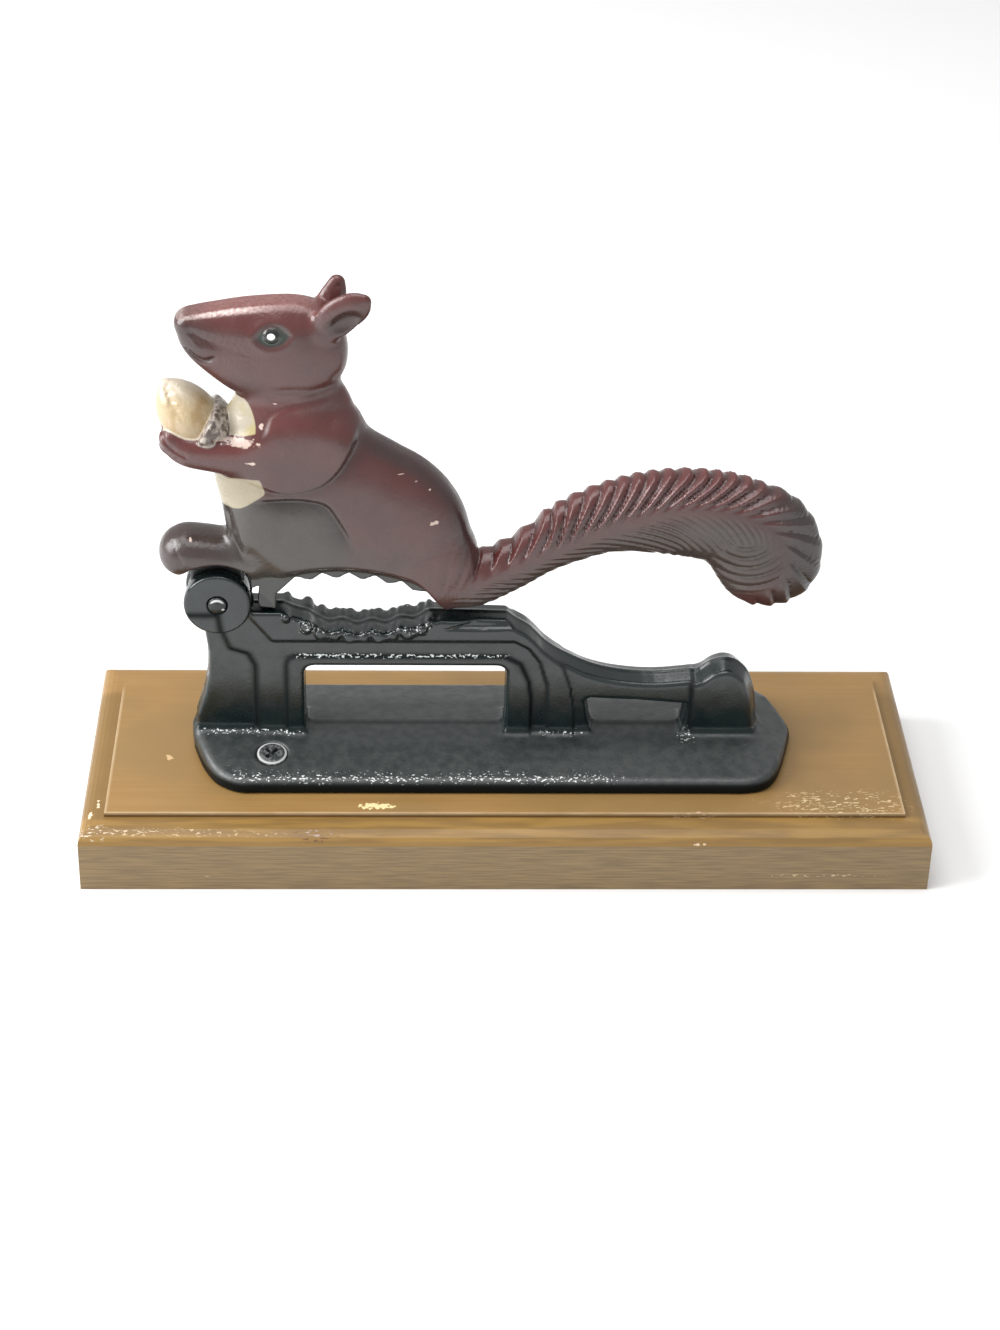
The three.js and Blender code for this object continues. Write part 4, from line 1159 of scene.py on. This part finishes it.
def plinth_paint():
    """Ochre paint brushed along the board, golden on the moulding, with chips, scuffs and worn edges, a
    painted shadow under the step's edge, a light line along that edge that is partly wear and partly painted
    highlight, and painted highlights on the moulding's left end.
    """
    paint = Paint("plinth_paint")
    streaks = paint.noise(1.3, 4, (30, 1.2, 0.8))
    paint.coat = paint.mix(paint.band(streaks, 0.3, 0.7), (149, 114, 66), (155, 121, 72))
    paint.over((140, 111, 67), paint.patches(0.4, 0.7, 45))
    brushed = paint.mix(paint.patches(0.35, 0.65, 0.6, 5, (24, 1, 1)), (116, 96, 65), (138, 115, 78))
    paint.over(brushed, paint.facing_up(0.5, 0.1))
    near = paint.along("Y", 36, 30)
    golden = paint.both(paint.along("Z", 17.2, 18), paint.along("Z", 22.9, 22.2),
                        paint.span(paint.noise(14), 0.55, 1.1), near)
    strips = paint.both(paint.patches(0.38, 0.62, 1.6, 4, (18, 2.5, 1)), paint.along("Y", -38, -42))
    paint.over(paint.mix(strips, (124, 96, 52), (148, 115, 59)), golden)
    paint.over((142, 106, 44), golden, paint.along("Z", 19.6, 18.2))
    # Painted shadow under the step's edge.
    shadow = paint.both(near, paint.step_edge(0.5, -0.4), paint.along("Z", 22.9, 22.5), 0.85)
    paint.over((92, 62, 34), shadow)
    # A light line along the step's top edge, partly wear and partly painted highlight.
    wear_and_highlight = paint.both(near, paint.step_edge(-1.2, -0.2), paint.along("Z", 22.7, 23.1),
                      paint.span(paint.noise(9), 0.1, 0.8))
    paint.over((208, 184, 150), wear_and_highlight)
    for place, radii, colour in PLINTH_CHIPS:
        paint.over(colour, paint.spot(place, radii, 0.15, 2))
    ragged = paint.patches(0.575, 0.62, 0.7, 3, (2.6, 1, 1))
    for place, radii, colour in PLINTH_SCUFFS_AND_HIGHLIGHTS:
        paint.over(colour, paint.spot(place, radii, 0.4, 0.8), ragged)
    return paint.finish(paint.span(paint.patches(0.3, 0.7, 12), 0.32, 0.44), paint.bump(streaks, 0.05))


def screw_steel():
    """Darkened steel, with a painted highlight ring on the rim of each head."""
    paint = Paint("screw_steel")
    paint.coat = paint.mix(paint.patches(0.45, 0.6, 1.2), (50, 54, 54), (96, 100, 100))
    low, high = (np.array(corner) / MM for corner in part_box("flange_screw_front"))
    x, y = (low[:2] + high[:2]) / 2
    z = high[2] - 1.2
    outer, inner = 4.9, 4.3
    # Painted highlight: a bright ring on the rim of each screw's head.
    for place in ((x, y, z), (2 * FLANGE_MIDDLE - x, -y, z)):
        ring = paint.math("SUBTRACT", paint.spot(place, 3 * (outer,), 0.03),
                          paint.spot(place, 3 * (inner,), 0.04))
        paint.over((186, 188, 186), paint.math("MAXIMUM", ring, 0))
    return paint.finish(paint.span(paint.noise(2), 0.25, 0.5))


def pin_steel():
    """Blackened steel with a painted highlight, a bright arc and a dot, on the pin's near end."""
    paint = Paint("pin_steel")
    x, y, z = PIVOT
    paint.coat = paint.mix(paint.patches(0.3, 0.7, 3), (26, 32, 33), (34, 40, 40))
    # Painted highlight: a bright arc on the upper rim of the pin's end, and a dot.
    highlight_arc = paint.both(paint.spot((x, y, z), (2.5, 0, 2.5), 0.08), paint.along("Z", z + 0.7, z + 1.5))
    highlight_arc = paint.math("SUBTRACT", highlight_arc, paint.spot((x, y, z - 0.5), (2.3, 0, 2.3), 0.1))
    highlight_arc = paint.math("MAXIMUM", highlight_arc, paint.spot((x + 1.9, y, z - 1.2), (0.45, 0, 0.45), 0.3))
    paint.over((206, 210, 208), paint.math("MAXIMUM", highlight_arc, 0))
    return paint.finish(paint.span(paint.noise(3), 0.15, 0.3), paint.bump(paint.noise(4), 0.1))


def dress(piece, material):
    piece.data.materials.clear()
    piece.data.materials.append(material)


def soften(piece, width):
    """Rounds a piece's edges and shades its curves smoothly."""
    rounding = piece.modifiers.new("rounding", "BEVEL")
    rounding.width = width * MM
    rounding.segments = 2
    rounding.limit_method = "ANGLE"
    rounding.angle_limit = math.radians(32)
    piece.data.shade_smooth()
    piece.data.set_sharp_from_angle(angle=math.radians(60))


# Putting it together
def build():
    body = squirrel()
    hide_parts("squirrel_lever")
    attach(body, "lever")
    dress(body, squirrel_enamel())
    casting_piece = anvil()
    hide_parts("anvil_frame")
    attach(casting_piece, "base")
    dress(casting_piece, frame_enamel())
    turned_pin = pin()
    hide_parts("pivot_pin")
    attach(turned_pin, "base")
    dress(turned_pin, pin_steel())
    board = frame["nodes"]["wooden_plinth"]
    soften(board, 0.5)
    dress(board, plinth_paint())
    steel = screw_steel()
    for name in ("flange_screw_front", "flange_screw_rear"):
        soften(frame["nodes"][name], 0.2)
        dress(frame["nodes"][name], steel)


# Stage, light and camera. Places are in metres, the lens in millimetres, angles in degrees.
FLOOR_HALF = 3
WORLD_STRENGTH = 0.6
AIM = (0, 0, 0.08)
LENS = 76.76
SENSOR_HEIGHT = 36
CAMERA_PLACE = (-0.03487, -0.7962, 0.57268)
CAMERA_PITCH, CAMERA_YAW, CAMERA_ROLL = 32.995, -2.382, 1.470


def stage():
    """A wide pale floor."""
    mesh = bpy.data.meshes.new("floor")
    corners = [(x * FLOOR_HALF, y * FLOOR_HALF, 0) for x, y in ((-1, -1), (1, -1), (1, 1), (-1, 1))]
    mesh.from_pydata(corners, [], [(0, 1, 2, 3)])
    floor = put("floor", mesh)
    paint = Paint("floor_white")
    paint.coat = (0.9, 0.9, 0.9, 1)
    floor.data.materials.append(paint.finish(0.9))


def softbox(name, place, size, power):
    data = bpy.data.lights.new(name, "AREA")
    data.shape = "RECTANGLE"
    data.size, data.size_y = size
    data.energy = power
    way = Vector(AIM) - Vector(place)
    turn = way.to_track_quat("-Z", "Y").to_matrix().to_4x4()
    put(name, data).matrix_world = Matrix.Translation(place) @ turn


def lights():
    scene = bpy.context.scene
    scene.world = bpy.data.worlds.new("studio")
    scene.world.use_nodes = True
    background = scene.world.node_tree.nodes["Background"]
    background.inputs["Color"].default_value = (1, 1, 1, 1)
    background.inputs["Strength"].default_value = WORLD_STRENGTH
    softbox("overhead", (-0.1, -0.05, 1.15), size=(1, 0.8), power=7)
    softbox("left", (-1.05, -0.15, 0.7), size=(0.9, 0.9), power=20)
    scene.view_settings.view_transform = "Standard"


def camera():
    data = bpy.data.cameras.new("camera")
    data.sensor_fit = "VERTICAL"
    data.sensor_height = SENSOR_HEIGHT
    data.lens = LENS
    piece = put("camera", data)
    turn = Matrix.Translation(CAMERA_PLACE)
    for degrees, axis in ((CAMERA_YAW, "Z"), (90 - CAMERA_PITCH, "X"), (CAMERA_ROLL, "Z")):
        turn = turn @ Matrix.Rotation(math.radians(degrees), 4, axis)
    piece.matrix_world = turn
    bpy.context.scene.camera = piece


build()
stage()
lights()
camera()
